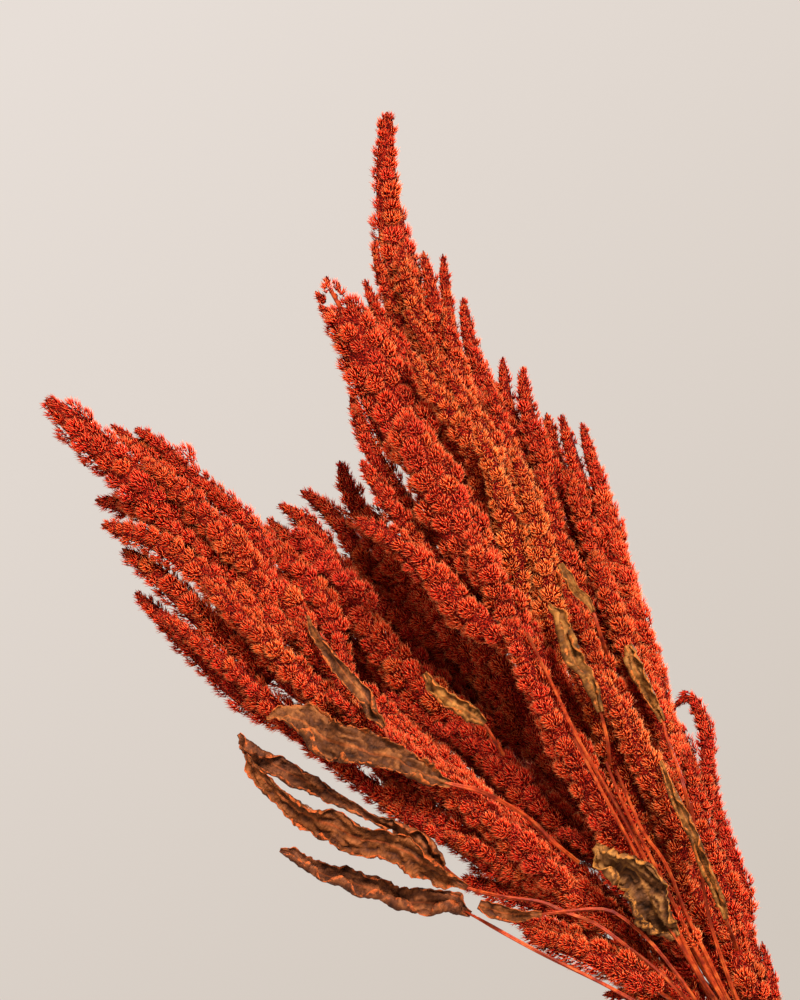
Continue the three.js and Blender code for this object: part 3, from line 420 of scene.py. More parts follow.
def back_plant(name, like, mouth, fan, turn, size):
    """A plant of the far side, made from the one in front that it is like."""
    source = next(plant for plant in PLANTS if plant["name"] == like)
    angle = math.radians(turn)

    def place(point):
        dx = (point[0] - MOUTH[0]) * size
        dz = (point[1] - MOUTH[1]) * size
        return (MOUTH[0] + dx * math.cos(angle) - dz * math.sin(angle),
                MOUTH[1] + dx * math.sin(angle) + dz * math.cos(angle))

    kept = [one for index, one in enumerate(source["tails"])
            if index % 2 == 0 and math.dist(one["foot"], MOUTH) > BARE_REACH]
    tails = [
        dict(one, tip=place(one["tip"]), middle=place(one["middle"]), foot=place(one["foot"]),
             radius=min(BACK_LARGEST, one["radius"] * BACK_FULLER), lift=BACK_LIFTS[index % len(BACK_LIFTS)])
        for index, one in enumerate(kept)
    ]
    stem = [place(point) for point in source["stem"]]
    return dict(name=name, mouth=mouth, fan=fan, pitch=BACK_PITCH, stem=stem, tails=tails)


ARC_STEPS = 200  # in which a curve's length is measured
FILLER_PITCH = 4  # from one point of a small added tail to the next
FILLER_REACH = 5  # how far the tails beside it set its depth
FILLER_TAPER = 0.25


class Curve:
    """A smooth curve through rows of numbers, by arc length."""

    def __init__(self, knots):
        self.knots = np.array(knots, float)
        first = 2 * self.knots[0] - self.knots[1]
        last = 2 * self.knots[-1] - self.knots[-2]
        self.padded = np.vstack([first, self.knots, last])
        steps = np.linalg.norm(np.diff(self.at(np.linspace(0, 1, ARC_STEPS + 1)), axis=0), axis=1)
        self.lengths = np.concatenate([[0], np.cumsum(steps)])
        self.length = self.lengths[-1]

    def at(self, times):
        """The rows at these times, from 0 at the start to 1 at the end."""
        spans = len(self.knots) - 1
        place = np.asarray(times, float) * spans
        index = np.minimum(place.astype(int), spans - 1)
        w = (place - index)[:, None]
        p0, p1, p2, p3 = (self.padded[index + step] for step in range(4))
        t0 = (p2 - p0) / 2
        t1 = (p3 - p1) / 2
        return p1 + t0 * w + (-3 * p1 + 3 * p2 - 2 * t0 - t1) * w**2 + (2 * p1 - 2 * p2 + t0 + t1) * w**3

    def times(self, distances):
        """The times at which so much of the curve's length is passed."""
        return np.interp(distances, self.lengths, np.linspace(0, 1, ARC_STEPS + 1))

    def even(self, pitch):
        """Points on the curve about so far apart."""
        count = max(3, int(self.length / pitch + 0.5))
        return self.at(self.times(np.linspace(0, 1, count + 1) * self.length))


def nearest(points, target):
    """The number of the point that is nearest to the target, both in the front view."""
    return int(np.argmin(np.hypot(points[:, 0] - target[0], points[:, 1] - target[1])))


def plant_strands(plant, plant_index):
    """The plant's main stem, its tails with their stalks and its bare stalks, as points (x, y, z)."""
    pitch = plant.get("pitch", BUD_PITCH)
    mouth = plant["mouth"]

    def reach_of(points):
        return np.hypot(points[:, 0] - mouth[0], points[:, 1] - MOUTH[1])

    def in_depth(points, lift):
        depth = mouth[1] + plant["fan"] * reach_of(points) - lift
        return np.column_stack([points[:, 0], depth, points[:, 1]])

    stem_path = Curve([*plant["stem"], (mouth[0], VASE_HEIGHT)]).even(pitch)
    stem_path = stem_path[nearest(stem_path, plant["tails"][0]["foot"]) - 2:]
    girth = np.minimum(1, np.arange(len(stem_path)) / STEM_TAPER)
    stem = dict(plant=plant_index, points=in_depth(stem_path, 0), buds=0, stem=None, bare=False,
                radii=STALK_RADIUS + (STEM_RADIUS - STALK_RADIUS) * girth)

    def branch(knots, join, lift):
        end = stem["points"][join]
        path = Curve([*knots, (end[0], end[2])]).even(pitch)
        foot_at = nearest(path, knots[-1])
        order = np.arange(len(path))
        away = np.where(order <= foot_at, 1, 1 - (order - foot_at) / (len(path) - 1 - foot_at))
        spread = np.minimum(1, reach_of(path) / FULL_SPREAD)
        points = in_depth(path, lift * away * spread)
        return dict(plant=plant_index, points=points, foot_at=foot_at, stem=stem, join=join, bare=False)

    branches = []
    for one in plant["tails"]:
        start = nearest(stem_path, one["foot"])
        run = max(JOIN_RUN, JOIN_SLOPE * math.dist(stem_path[start], one["foot"]))
        join = min(len(stem_path) - 2, start + int(run / pitch + 0.5))
        strand = branch([one["tip"], one["middle"], one["foot"]], join, one["lift"])
        foot_at = strand["foot_at"]
        share = np.arange(foot_at + 1) / foot_at
        fullness = one["radius"] * (TAIL_TIP + (1 - TAIL_TIP) * share ** one["taper"])
        fullness[-1] *= TAIL_FOOT
        stalk = np.full(len(strand["points"]) - foot_at - 1, float(STALK_RADIUS))
        strand.update(radii=np.concatenate([fullness, stalk]), buds=foot_at + 1, tail=one)
        branches.append(strand)
    for knots in plant.get("bare_stalks", []):
        strand = branch(knots, len(stem_path) - 2, BARE_LIFT)
        strand.update(radii=np.full(len(strand["points"]), float(BARE_RADIUS)), buds=0, bare=True)
        branches.append(strand)
    stem["first"] = branches[0]
    first = branches[0]["points"]
    stem["first_at"] = nearest(first[:, [0, 2]], stem["points"][0][[0, 2]])
    return [stem, *branches]


def settle(strands):
    """Moves the strands in depth alone until no tail presses into another plant."""
    places = np.vstack([strand["points"] for strand in strands])
    radius = np.concatenate([strand["radii"] for strand in strands])
    counts = [len(strand["points"]) for strand in strands]
    owner = np.repeat(np.arange(len(strands)), counts)
    plant = np.repeat([strand["plant"] for strand in strands], counts)
    bud = np.concatenate([
        np.full(count, True) if strand["bare"] else np.arange(count) < strand["buds"]
        for strand, count in zip(strands, counts)
    ])
    starts = np.concatenate([[0], np.cumsum(counts)[:-1]])
    for strand, start in zip(strands, starts):
        strand["at"] = int(start)
    same = plant[:, None] == plant[None, :]
    reach = (radius[:, None] + radius[None, :]) * np.where(same, SNUG, 1) + np.where(same, 0, PLANT_GAP)
    flat = np.hypot(places[:, None, 0] - places[None, :, 0], places[:, None, 2] - places[None, :, 2])
    meets = (flat < reach) & (owner[:, None] < owner[None, :]) & (~same | (bud[:, None] & bud[None, :]))
    a, b = np.nonzero(meets)
    want = np.sqrt(reach[a, b] ** 2 - flat[a, b] ** 2)
    depth = places[:, 1].copy()
    inner = np.concatenate([np.arange(start + 1, start + count - 1)
                            for start, count in zip(starts, counts)])
    for turn in range(SETTLE_ROUNDS):
        have = depth[b] - depth[a]
        lack = want - np.abs(have)
        hit = lack > 0
        half = np.where(have < 0, -lack, lack)[hit] / 2
        both = np.column_stack([a[hit], b[hit]]).ravel()
        push = np.bincount(both, np.column_stack([-half, half]).ravel(), len(depth))
        depth += push / np.maximum(1, np.bincount(both, minlength=len(depth)))
        soft = LOOSE if turn < SETTLE_ROUNDS * LOOSE_SHARE else FIRM
        before = depth.copy()
        depth[inner] += soft * ((before[inner - 1] + before[inner + 1]) / 2 - before[inner])
        for strand, count in zip(strands, counts):
            last = strand["at"] + count - 1
            if strand["stem"] is None:
                depth[strand["at"]] = before[strand["first"]["at"] + strand["first_at"]]
                depth[last] = places[last, 1]
            else:
                depth[last] = depth[strand["stem"]["at"] + strand["join"]]
    for strand, count in zip(strands, counts):
        strand["points"][:, 1] = depth[strand["at"]:strand["at"] + count]


def filler(name, tip, middle, foot, radius, behind, tint):
    """A small tail that lies beside the settled tails of its plant."""
    index = [plant["name"] for plant in plants].index(name)
    own = [strand for strand in strands if strand["plant"] == index and not strand["bare"]]
    beside = np.vstack([strand["points"] for strand in own])
    path = Curve([tip, middle, foot]).even(FILLER_PITCH)
    gaps = np.linalg.norm(path[:, None] - beside[None][:, :, [0, 2]], axis=2)
    weights = np.exp(-gaps / FILLER_REACH)
    depth = (weights * beside[:, 1]).sum(1) / weights.sum(1) + behind
    share = np.linspace(0, 1, len(path))
    return dict(plant=index, points=np.column_stack([path[:, 0], depth, path[:, 1]]), stem=own[0],
                bare=False, radii=radius * (TAIL_TIP + (1 - TAIL_TIP) * share**FILLER_TAPER),
                foot_at=len(path) - 1, tail=tail(tip, middle, foot, radius, 0, tint=tint))


def stem_foot(plant):
    """The stem inside the vase, from the rim down to its cut end on the vase's floor."""
    x, y = plant["mouth"]
    end = np.array([STEM_END[0] + (x - MOUTH[0]) * END_SPREAD, y * END_SPREAD, STEM_END[1]])
    top = np.array([x, y, VASE_HEIGHT])
    return np.array([top + (end - top) * (step + 1) / END_STEPS for step in range(END_STEPS)])


# ---------------------------------------------------------------- materials


def linear(code):
    """An sRGB hex colour as linear RGBA."""
    values = [int(code[i:i + 2], 16) / 255 for i in (1, 3, 5)]
    return [*(v / 12.92 if v <= 0.04045 else ((v + 0.055) / 1.055) ** 2.4 for v in values), 1]


def add(tree, kind, links=None, stops=None, **settings):
    """Adds a node. links are its inputs: values, or the sockets that feed them."""
    node = tree.nodes.new("ShaderNode" + kind)
    for key, value in settings.items():
        setattr(node, key, value)
    for key, value in (links or {}).items():
        if isinstance(value, bpy.types.NodeSocket):
            tree.links.new(value, node.inputs[key])
        else:
            node.inputs[key].default_value = value
    if stops:
        elements = node.color_ramp.elements
        while len(elements) < len(stops):
            elements.new(0.5)
        for element, (position, code) in zip(elements, stops):
            element.position = position
            element.color = linear(code)
    return node


def new_material(name, specular=0.5):
    """A node material, its tree and its shader, with so much of a sheen."""
    material = bpy.data.materials.new(name)
    material.use_nodes = True
    shader = material.node_tree.nodes["Principled BSDF"]
    shader.inputs["Specular IOR Level"].default_value = specular
    return material, material.node_tree, shader


def finish_surface(tree, shader, color, roughness, bump_height, strength, distance_mm):
    """Links the colour, the roughness and a bump to the shader."""
    tree.links.new(color, shader.inputs["Base Color"])
    tree.links.new(roughness, shader.inputs["Roughness"])
    bump = add(tree, "Bump", {"Height": bump_height, "Strength": strength, "Distance": distance_mm * MM})
    tree.links.new(bump.outputs["Normal"], shader.inputs["Normal"])


# A bract is darkest where it sits sunk in its tuft: partly its own colour, partly painted shade
BRACT_STOPS = (0, 0.3, 0.62, 1)  # from where a bract is sunk in its tuft to its point
BRACT_COLORS = [
    # the usual red-orange, the paler tan-orange, crimson
    ("#4C0402", "#AC1408", "#CC3A16", "#F4965E"),
    ("#5A0E02", "#B4320C", "#DA6226", "#F8A864"),
    ("#460208", "#A60A14", "#C82A1C", "#EE7C52"),
]


def bract_material():
    """Dry papery amaranth bracts: dark crimson where they sit deep, partly their own colour and partly
    painted shade, bright orange at their points, and lighter or darker by their tone, which holds painted
    shade and painted light.
    """
    material, tree, shader = new_material("dried_amaranth_bracts", 0.03)
    tip = add(tree, "Attribute", attribute_name="tip").outputs["Fac"]
    tone_and_shade = add(tree, "Attribute", attribute_name="tone_and_shade").outputs["Fac"]
    tint = add(tree, "Attribute", attribute_name="tint").outputs["Fac"]
    usual, pale, crimson = (add(tree, "ValToRGB", {"Fac": tip}, list(zip(BRACT_STOPS, codes)))
                            for codes in BRACT_COLORS)
    paler = add(tree, "Mix", {0: tint, 6: usual.outputs["Color"], 7: pale.outputs["Color"]},
                data_type="RGBA", clamp_factor=True)
    redder = add(tree, "Math", {0: tint, 1: -1.0}, operation="MULTIPLY")
    mixed = add(tree, "Mix", {0: redder.outputs[0], 6: paler.outputs[2], 7: crimson.outputs["Color"]},
                data_type="RGBA", clamp_factor=True)
    # The tone darkens or brightens the colour: random tone with painted shade and painted light in it
    value = add(tree, "MapRange", {"Value": tone_and_shade, "To Min": 0.28, "To Max": 1.42})
    color = add(tree, "HueSaturation", {"Color": mixed.outputs[2], "Value": value.outputs["Result"]})
    where = add(tree, "TexCoord").outputs["Object"]
    grain = add(tree, "TexNoise", {"Vector": where, "Scale": 1 / (0.6 * MM), "Detail": 2.0})
    rough = add(tree, "MapRange", {"Value": grain.outputs["Fac"], "To Min": 0.62, "To Max": 0.9})
    finish_surface(tree, shader, color.outputs["Color"], rough.outputs["Result"],
                   grain.outputs["Fac"], 0.3, 0.1)
    return material


def core_material():
    """The inside of a tail, seen only between its clusters: near black-red, as painted shade deep between
    the tufts.
    """
    material, tree, shader = new_material("amaranth_tail_core_shade", 0.05)
    where = add(tree, "TexCoord").outputs["Object"]
    grain = add(tree, "TexNoise", {"Vector": where, "Scale": 1 / (0.8 * MM), "Detail": 3.0,
                                   "Roughness": 0.7})
    # Mostly near black-red as painted shade, with red specks
    color = add(tree, "ValToRGB", {"Fac": grain.outputs["Fac"]},
                [(0.4, "#160101"), (0.52, "#640A05"), (0.64, "#B42C12")])
    rough = add(tree, "MapRange", {"Value": grain.outputs["Fac"], "To Min": 0.8, "To Max": 0.95})
    finish_surface(tree, shader, color.outputs["Color"], rough.outputs["Result"],
                   grain.outputs["Fac"], 0.9, 1.5)
    return material


def stem_material():
    """Dried amaranth stem: waxy orange-red skin with fine ribs that run along it."""
    material, tree, shader = new_material("dried_amaranth_stem", 0.15)
    ways = add(tree, "TexCoord")
    ribs = add(tree, "TexWave", {"Vector": ways.outputs["UV"], "Scale": 0.9, "Distortion": 1.5,
                                 "Detail": 2.0}, bands_direction="X")
    patches = add(tree, "TexNoise", {"Vector": ways.outputs["Object"], "Scale": 1 / (5 * MM), "Detail": 4.0,
                                     "Roughness": 0.6})
    skin = add(tree, "ValToRGB", {"Fac": patches.outputs["Fac"]},
               [(0.3, "#601406"), (0.5, "#98300E"), (0.7, "#B85420")])
    grooves = add(tree, "MapRange", {"Value": ribs.outputs["Fac"], "From Max": 0.35, "To Min": 0.65,
                                     "To Max": 0.0})
    color = add(tree, "Mix", {0: grooves.outputs["Result"], 6: skin.outputs["Color"], 7: linear("#541006")},
                data_type="RGBA")
    rough = add(tree, "MapRange", {"Value": patches.outputs["Fac"], "To Min": 0.35, "To Max": 0.6})
    finish_surface(tree, shader, color.outputs[2], rough.outputs["Result"], ribs.outputs["Fac"], 0.5, 0.4)
    return material


LEAF_LOOKS = {
    # from the painted shade of the deepest crease to the painted highlights of the ridges, then the edge's
    # painted highlight
    "tan": ("#2A1406", "#6C3E16", "#AC7034", "#BC6024"),
    "brown": ("#200D05", "#562C12", "#925428", "#B65622"),
    "dark": ("#240C04", "#5C2E16", "#925028", "#AC4E20"),
    "red": ("#240A04", "#62300F", "#945026", "#B24C1C"),
    "olive": ("#22120A", "#5C3418", "#94602E", "#B06C2C"),
}


def leaf_material(look):
    """A dried leaf: thin brown skin with long creases, painted shade in them and painted highlights on its
    ridges, and orange painted highlights where its edges and veins catch the light."""
    material, tree, shader = new_material("dried_leaf_" + look, 0.12)
    dark, mid, light, edge = LEAF_LOOKS[look]
    ways = add(tree, "TexCoord")
    ridge_light_and_pale_tip = add(tree, "Attribute", attribute_name="ridge_light_and_pale_tip").outputs["Fac"]
    across = add(tree, "Attribute", attribute_name="across").outputs["Fac"]
    side = add(tree, "Math", {0: across}, operation="ABSOLUTE").outputs[0]
    patches = add(tree, "TexNoise", {"Vector": ways.outputs["Object"], "Scale": 1 / (3 * MM), "Detail": 6.0,
                                     "Roughness": 0.65})
    fine = add(tree, "TexNoise", {"Vector": ways.outputs["Object"], "Scale": 1 / (0.9 * MM), "Detail": 3.0})
    # The UV map is the blade laid flat, ten millimetres to a unit
    bent = add(tree, "VectorMath", {0: patches.outputs["Color"], 1: (0.25, 0.25, 0), 2: ways.outputs["UV"]},
               operation="MULTIPLY_ADD")
    long_ways = add(tree, "VectorMath", {0: bent.outputs[0], 1: (1, 0.35, 1)}, operation="MULTIPLY")
    folds = add(tree, "TexVoronoi", {"Vector": long_ways.outputs[0], "Scale": 2.6},
                feature="DISTANCE_TO_EDGE")
    small = add(tree, "TexVoronoi", {"Vector": bent.outputs[0], "Scale": 4.5}, feature="DISTANCE_TO_EDGE")
    fold = add(tree, "MapRange", {"Value": folds.outputs["Distance"], "From Max": 0.3})
    crumple = add(tree, "MapRange", {"Value": small.outputs["Distance"], "From Max": 0.35})
    # Painted shade along the crease lines, which also make the bump below
    creased = add(tree, "Mix", {0: 0.35, 2: fold.outputs["Result"], 3: crumple.outputs["Result"]})
    raised = add(tree, "Mix", {0: 0.4, 2: ridge_light_and_pale_tip, 3: creased.outputs[0]})
    mottled = add(tree, "Mix", {0: 0.35, 2: raised.outputs[0], 3: patches.outputs["Fac"]})
    # The skin's colour: painted shade in the creases, painted highlight on the ridges, and mottling
    skin = add(tree, "ValToRGB", {"Fac": mottled.outputs[0]}, [(0.2, dark), (0.45, mid), (0.75, light)])
    # Painted highlight: orange in patches along the edges, where they catch the light
    lit_edge = add(tree, "Math", {0: side, 1: patches.outputs["Fac"]}, operation="MULTIPLY")
    rim = add(tree, "MapRange", {"Value": lit_edge.outputs[0], "From Min": 0.42, "From Max": 0.52,
                                 "To Max": 0.9})
    rimmed = add(tree, "Mix", {0: rim.outputs["Result"], 6: skin.outputs["Color"], 7: linear(edge)},
                 data_type="RGBA")
    # Painted highlight along the midrib
    rib = add(tree, "MapRange", {"Value": side, "From Min": 0.02, "From Max": 0.08, "To Min": 0.28,
                                 "To Max": 0.0})
    ribbed = add(tree, "Mix", {0: rib.outputs["Result"], 6: rimmed.outputs[2], 7: linear(edge)},
                 data_type="RGBA")
    rough = add(tree, "MapRange", {"Value": fine.outputs["Fac"], "To Min": 0.5, "To Max": 0.8})
    height = add(tree, "Mix", {0: 0.12, 2: creased.outputs[0], 3: fine.outputs["Fac"]})
    finish_surface(tree, shader, ribbed.outputs[2], rough.outputs["Result"], height.outputs[0], 0.9, 1.2)
    return material


def stoneware_material():
    """Stoneware with a matt glaze: warm grey-white, fine iron specks, faint throwing rings."""
    material, tree, shader = new_material("matt_glazed_stoneware")
    where = add(tree, "TexCoord").outputs["Object"]
    specks = add(tree, "TexVoronoi", {"Vector": where, "Scale": 1 / (5 * MM), "Randomness": 1.0})
    dots = add(tree, "MapRange", {"Value": specks.outputs["Distance"], "From Min": 0.05, "From Max": 0.12,
                                  "To Min": 0.55, "To Max": 0.0})
    cloud = add(tree, "TexNoise", {"Vector": where, "Scale": 1 / (40 * MM), "Detail": 4.0})
    glaze = add(tree, "ValToRGB", {"Fac": cloud.outputs["Fac"]}, [(0.3, "#A29582"), (0.7, "#B8AB98")])
    color = add(tree, "Mix", {0: dots.outputs["Result"], 6: glaze.outputs["Color"], 7: linear("#5E4830")},
                data_type="RGBA")
    rings = add(tree, "TexWave", {"Vector": where, "Scale": 1 / (22 * MM), "Distortion": 0.6},
                bands_direction="Z")
    grain = add(tree, "TexNoise", {"Vector": where, "Scale": 1 / (1.2 * MM), "Detail": 3.0})
    height = add(tree, "Mix", {0: 0.35, 2: rings.outputs["Fac"], 3: grain.outputs["Fac"]})
    rough = add(tree, "MapRange", {"Value": grain.outputs["Fac"], "To Min": 0.55, "To Max": 0.75})
    finish_surface(tree, shader, color.outputs[2], rough.outputs["Result"], height.outputs[0], 0.35, 0.6)
    return material


def floor_material():
    """A plain matt studio floor, pale and a little warm."""
    material, tree, shader = new_material("pale_matt_floor")
    shader.inputs["Base Color"].default_value = linear("#9C948C")
    shader.inputs["Roughness"].default_value = 0.9
    return material


# ---------------------------------------------------------------- pieces


def add_piece(name, mesh, node):
    """Puts a piece into the scene in place of the node, or as one of several that replace it."""
    piece = bpy.data.objects.new(name, mesh)
    bpy.context.scene.collection.objects.link(piece)
    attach(piece, BODY)
    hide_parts(node)
    return piece


def tubes(name, runs, materials):
    """A mesh of smooth tubes. Each run is its points, their radii and the number of its material."""
    curve = bpy.data.curves.new(name, "CURVE")
    for material in materials:
        curve.materials.append(material)
    curve.dimensions = "3D"
    curve.bevel_depth = MM
    curve.bevel_resolution = TUBE_ROUNDNESS
    curve.use_fill_caps = True
    for points, radii, material in runs:
        spline = curve.splines.new("POLY")
        spline.points.add(len(points) - 1)
        spline.points.foreach_set("co", np.column_stack([points * MM, np.ones(len(points))]).ravel())
        spline.points.foreach_set("radius", np.array(radii, float))
        spline.material_index = material
        spline.use_smooth = True
    source = bpy.data.objects.new(name, curve)
    bpy.context.scene.collection.objects.link(source)
    bpy.context.view_layer.update()
    mesh = bpy.data.meshes.new_from_object(source)
    mesh.name = name
    bpy.data.objects.remove(source)
    return mesh


def finer(points, radii):
    """The strand's points and radii again, closer together on a smooth curve."""
    curve = Curve(points)
    count = max(2, round(curve.length / TUBE_PITCH))
    times = curve.times(np.linspace(0, curve.length, count + 1))
    return curve.at(times), np.interp(times * (len(points) - 1), np.arange(len(points)), radii)


def unit(vectors):
    """The vectors, each with a length of one."""
    return vectors / np.maximum(1e-9, np.linalg.norm(vectors, axis=-1, keepdims=True))


# From where a tuft may be seen: from the front, and from elsewhere
FRONT = [(0, -1, 0), (0.3, -1, 0.2), (-0.3, -1, 0.2), (0.1, -1, -0.35), (-0.1, -1, 0.4)]
ELSEWHERE = [(1, 0, 0.2), (-1, 0, 0.2), (0, 1, 0), (0.7, 0.7, 0.3), (-0.7, 0.7, 0.3), (0.7, -0.7, 0),
             (-0.7, -0.7, 0), (0, 0.3, 1), (0, 0, -1), (0.4, 0.6, 0.8), (-0.6, 0, 0.8)]


def exposure(places, solids):
    """For each place how open it is to the front, from 0 to 1, and whether it shows from anywhere."""
    def free(place, way):
        start = Vector(place * MM)
        return all(tree.ray_cast(start, Vector(way))[0] is None for tree in solids)

    openness = np.array([np.mean([free(place, way) for way in FRONT]) for place in places])
    shows = np.array([value > 0 or any(free(place, way) for way in ELSEWHERE)
                      for place, value in zip(places, openness)])
    return openness, shows


def flowering_part(strand):
    """The part of a strand that flowers cover, as points and the flowers' radius at each, or None."""
    points = strand["points"]
    reach = np.hypot(points[:, 0] - MOUTH[0], points[:, 2] - MOUTH[1])
    if strand["bare"]:
        return None
    if strand["stem"] is None:
        last = int((reach > STEM_BARE).sum())
        return (points[:last], np.full(last, STEM_TUFTS)) if last > 2 else None
    foot_at = strand["foot_at"]
    radii = strand["radii"][:foot_at + 1].copy()
    radii[-1] /= TAIL_FOOT
    last = max(foot_at + 1, int((reach > STALK_BARE).sum()))
    fade = np.linspace(1, 0, last - foot_at)[1:] ** 2
    stalk = STALK_TUFTS + (radii[-1] * STALK_FULL - STALK_TUFTS) * fade
    return points[:last], np.concatenate([radii, stalk])


def tuft_size(radius):
    """A tuft's radius, from its tail's there."""
    return np.clip(radius * TUFT_SHARE, TUFT_LEAST, TUFT_MOST)


def tuft_middle(radius):
    """How far a tuft's middle is from the tail's axis."""
    return np.maximum(0.2, radius - TUFT_SINK * tuft_size(radius))


def rings(start, length, radius_of):
    """How far along the tail and how far round it each tuft is, in rings from its start to its foot."""
    distance = start + TUFT_LEAST
    distances, turns = [distance], [0.0]
    while distance < length:
        radius = radius_of(distance)
        step = TUFT_STEP * tuft_size(radius)
        count = max(RING_FEWEST, round(2 * math.pi * tuft_middle(radius) / step))
        turn = rng.uniform(0, 2 * math.pi) + np.arange(count) * 2 * math.pi / count
        tilt = RING_TILT * tuft_middle(radius) * np.sin(turn - rng.uniform(0, 6))
        distances.extend(distance + tilt + rng.uniform(-RING_STRAY[0], RING_STRAY[0], count) * step)
        turns.extend(turn + rng.uniform(-RING_STRAY[1], RING_STRAY[1], count))
        distance += step
    return np.clip(distances, start + TUFT_LEAST, length), np.array(turns)


def tail_form(strand):
    """The axis of a strand's flowers, where they start and a function that gives their radius, both by the
    distance from the tip."""
    points, radius_at = flowering_part(strand)
    curve = Curve(points)
    if strand["stem"] is None:
        return curve, 0, lambda distance: np.full(np.shape(distance), float(STEM_TUFTS))
    full, bare = TAIL_FULLER * strand["tail"]["full"], strand["tail"]["bare"]

    def radius_of(distance):
        radius = np.interp(curve.times(distance) * (len(points) - 1), np.arange(len(points)), radius_at)
        return radius * full * (1 - np.exp(-(distance - bare + TIP_START) / TIP_RUN))

    return curve, bare, radius_of


def tufts(strand, solids):
    """Where one strand's tufts sit, which way they and the tail's tip point, their radii, how open each is
    to the front, whether it shows, and its tint."""
    curve, start, radius_of = tail_form(strand)
    is_tail = strand["stem"] is not None
    distances, turns = rings(start, curve.length, radius_of)
    radii = radius_of(distances)
    size = tuft_size(radii) * rng.uniform(*TUFT_SIZES, len(radii))
    times = curve.times(distances)
    tipward = unit(curve.at(np.clip(times - 0.01, 0, 1)) - curve.at(np.clip(times + 0.01, 0, 1)))
    side = unit(np.cross([0, 1, 0], tipward))
    front = np.cross(tipward, side)
    outward = side * np.cos(turns)[:, None] + front * np.sin(turns)[:, None]
    centres = curve.at(times)
    at = centres + outward * (tuft_middle(radii) * rng.uniform(*TUFT_OUT, len(radii)))[:, None]
    reach = TIP_REACH[0] * radii + TIP_REACH[1]
    near_tip = np.clip(1 - (distances - start) / reach, 0, 1)[:, None] * is_tail
    heading = unit(outward * (1 - TIP_INWARD * near_tip) + tipward * (TUFT_LEAN + TIP_LEAN * near_tip)
                   + rng.normal(0, TUFT_STRAY, at.shape))
    beside = np.cross(outward, tipward) * size[:, None]
    looks = [exposure(centres + outward * (radii[:, None] + proud) + turn * beside, solids)
             for proud, turn in TUFT_PEEPS]
    openness = np.mean([look[0] for look in looks], axis=0)
    shows = np.any([look[1] for look in looks], axis=0)
    tint = (strand["tail"]["tint"] if is_tail else 0) + rng.normal(0, TINT_STRAY, len(at))
    return at, heading, tipward, size, openness, shows, tint


def turned_frames(heading):
    """Two directions across each heading, turned at random about it."""
    first = unit(np.cross(heading, unit(rng.normal(size=heading.shape))))
    return first, np.cross(heading, first)


def bracts(at, heading, tipward, size, openness, shows):
    """The bracts of one strand, evenly over the outside of its tufts where these don't run into each
    other: each one's tuft, place and direction, how far it is from the next tuft, and its width."""
    front = openness > 0
    thinned = FRONT_BRACTS * np.interp(openness, HALF_HIDDEN, (HIDDEN_SHARE, 1))
    density = np.where(front, thinned, SIDE_BRACTS) * shows
    counts = (density * 2 * math.pi * BRACT_DOME * size**2).astype(int)
    tuft = np.repeat(np.arange(len(size)), counts)
    order = np.arange(len(tuft)) - np.repeat(np.cumsum(counts) - counts, counts) + 0.5
    height = 1 - BRACT_DOME * order / counts[tuft]
    flat = np.sqrt(1 - height**2)
    around = order * GOLDEN_ANGLE
    first, second = turned_frames(heading)
    dome = (first[tuft] * (flat * np.cos(around))[:, None] + second[tuft] * (flat * np.sin(around))[:, None]
            + heading[tuft] * height[:, None])
    dome = unit(dome + rng.normal(0, BRACT_STRAY[0], dome.shape))
    place = at[tuft] + dome * size[tuft, None]
    clear = np.linalg.norm(place[:, None] - at[None], axis=2) - size[None]
    clear[np.arange(len(tuft)), tuft] = np.inf
    clear = clear.min(1)
    away = front[tuft] & (dome[:, 1] > FACING)
    kept = (clear > BRACT_CLEAR) & (~away | (rng.random(len(tuft)) < SIDE_BRACTS / FRONT_BRACTS))
    ways = unit(dome + BRACT_LEAN * tipward[tuft] + rng.normal(0, BRACT_STRAY[1], dome.shape))
    width = np.where(away | ~front[tuft], SIDE_WIDTH, FRONT_WIDTH)
    return tuft[kept], place[kept], ways[kept], clear[kept], width[kept]


def arrays(shape):
    """The corners and faces of a small bmesh shape, which it frees."""
    shape.verts.index_update()
    corners = np.array([vertex.co for vertex in shape.verts])
    faces = np.array([[vertex.index for vertex in face.verts] for face in shape.faces])
    shape.free()
    return corners, faces


class Copies:
    """Many copies of small shapes, gathered into one mesh with a value or two for each corner."""

    def __init__(self):
        self.corners, self.faces, self.values, self.count = [], [], [], 0

    def place(self, shape, origin, axes, values):
        """Puts one copy at each origin. axes are its three sides, already scaled. values holds tip, tone and
        tint for each corner of each copy; the tone carries painted shade and painted light."""
        corners, faces = shape
        spots = origin[:, None] + sum(corners[None, :, k, None] * axes[k][:, None] for k in range(3))
        steps = self.count + len(corners) * np.arange(len(origin))
        self.corners.append(spots.reshape(-1, 3))
        self.faces.append((faces[None] + steps[:, None, None]).reshape(-1, 3))
        self.values.append(np.column_stack([
            np.broadcast_to(value, spots.shape[:2]).ravel() for value in values
        ]).astype(np.float32))
        self.count += spots.shape[0] * spots.shape[1]

    def mesh(self, name, keys):
        corners, faces = np.concatenate(self.corners) * MM, np.concatenate(self.faces)
        mesh = bpy.data.meshes.new(name)
        mesh.vertices.add(len(corners))
        mesh.vertices.foreach_set("co", corners.ravel())
        mesh.loops.add(faces.size)
        mesh.loops.foreach_set("vertex_index", faces.ravel())
        mesh.polygons.add(len(faces))
        mesh.polygons.foreach_set("loop_start", np.arange(len(faces)) * 3)
        mesh.update(calc_edges=True)
        for key, column in zip(keys, np.concatenate(self.values).T):
            data = mesh.attributes.new(key, "FLOAT", "POINT").data
            data.foreach_set("value", np.ascontiguousarray(column))
        return mesh


def bract_shape():
    """One keeled bract: three narrow faces that end in a point, and a base that closes it."""
    shape = bmesh.new()
    bmesh.ops.create_cone(shape, segments=3, radius1=0.5, radius2=0, depth=1, cap_ends=True)
    return shape


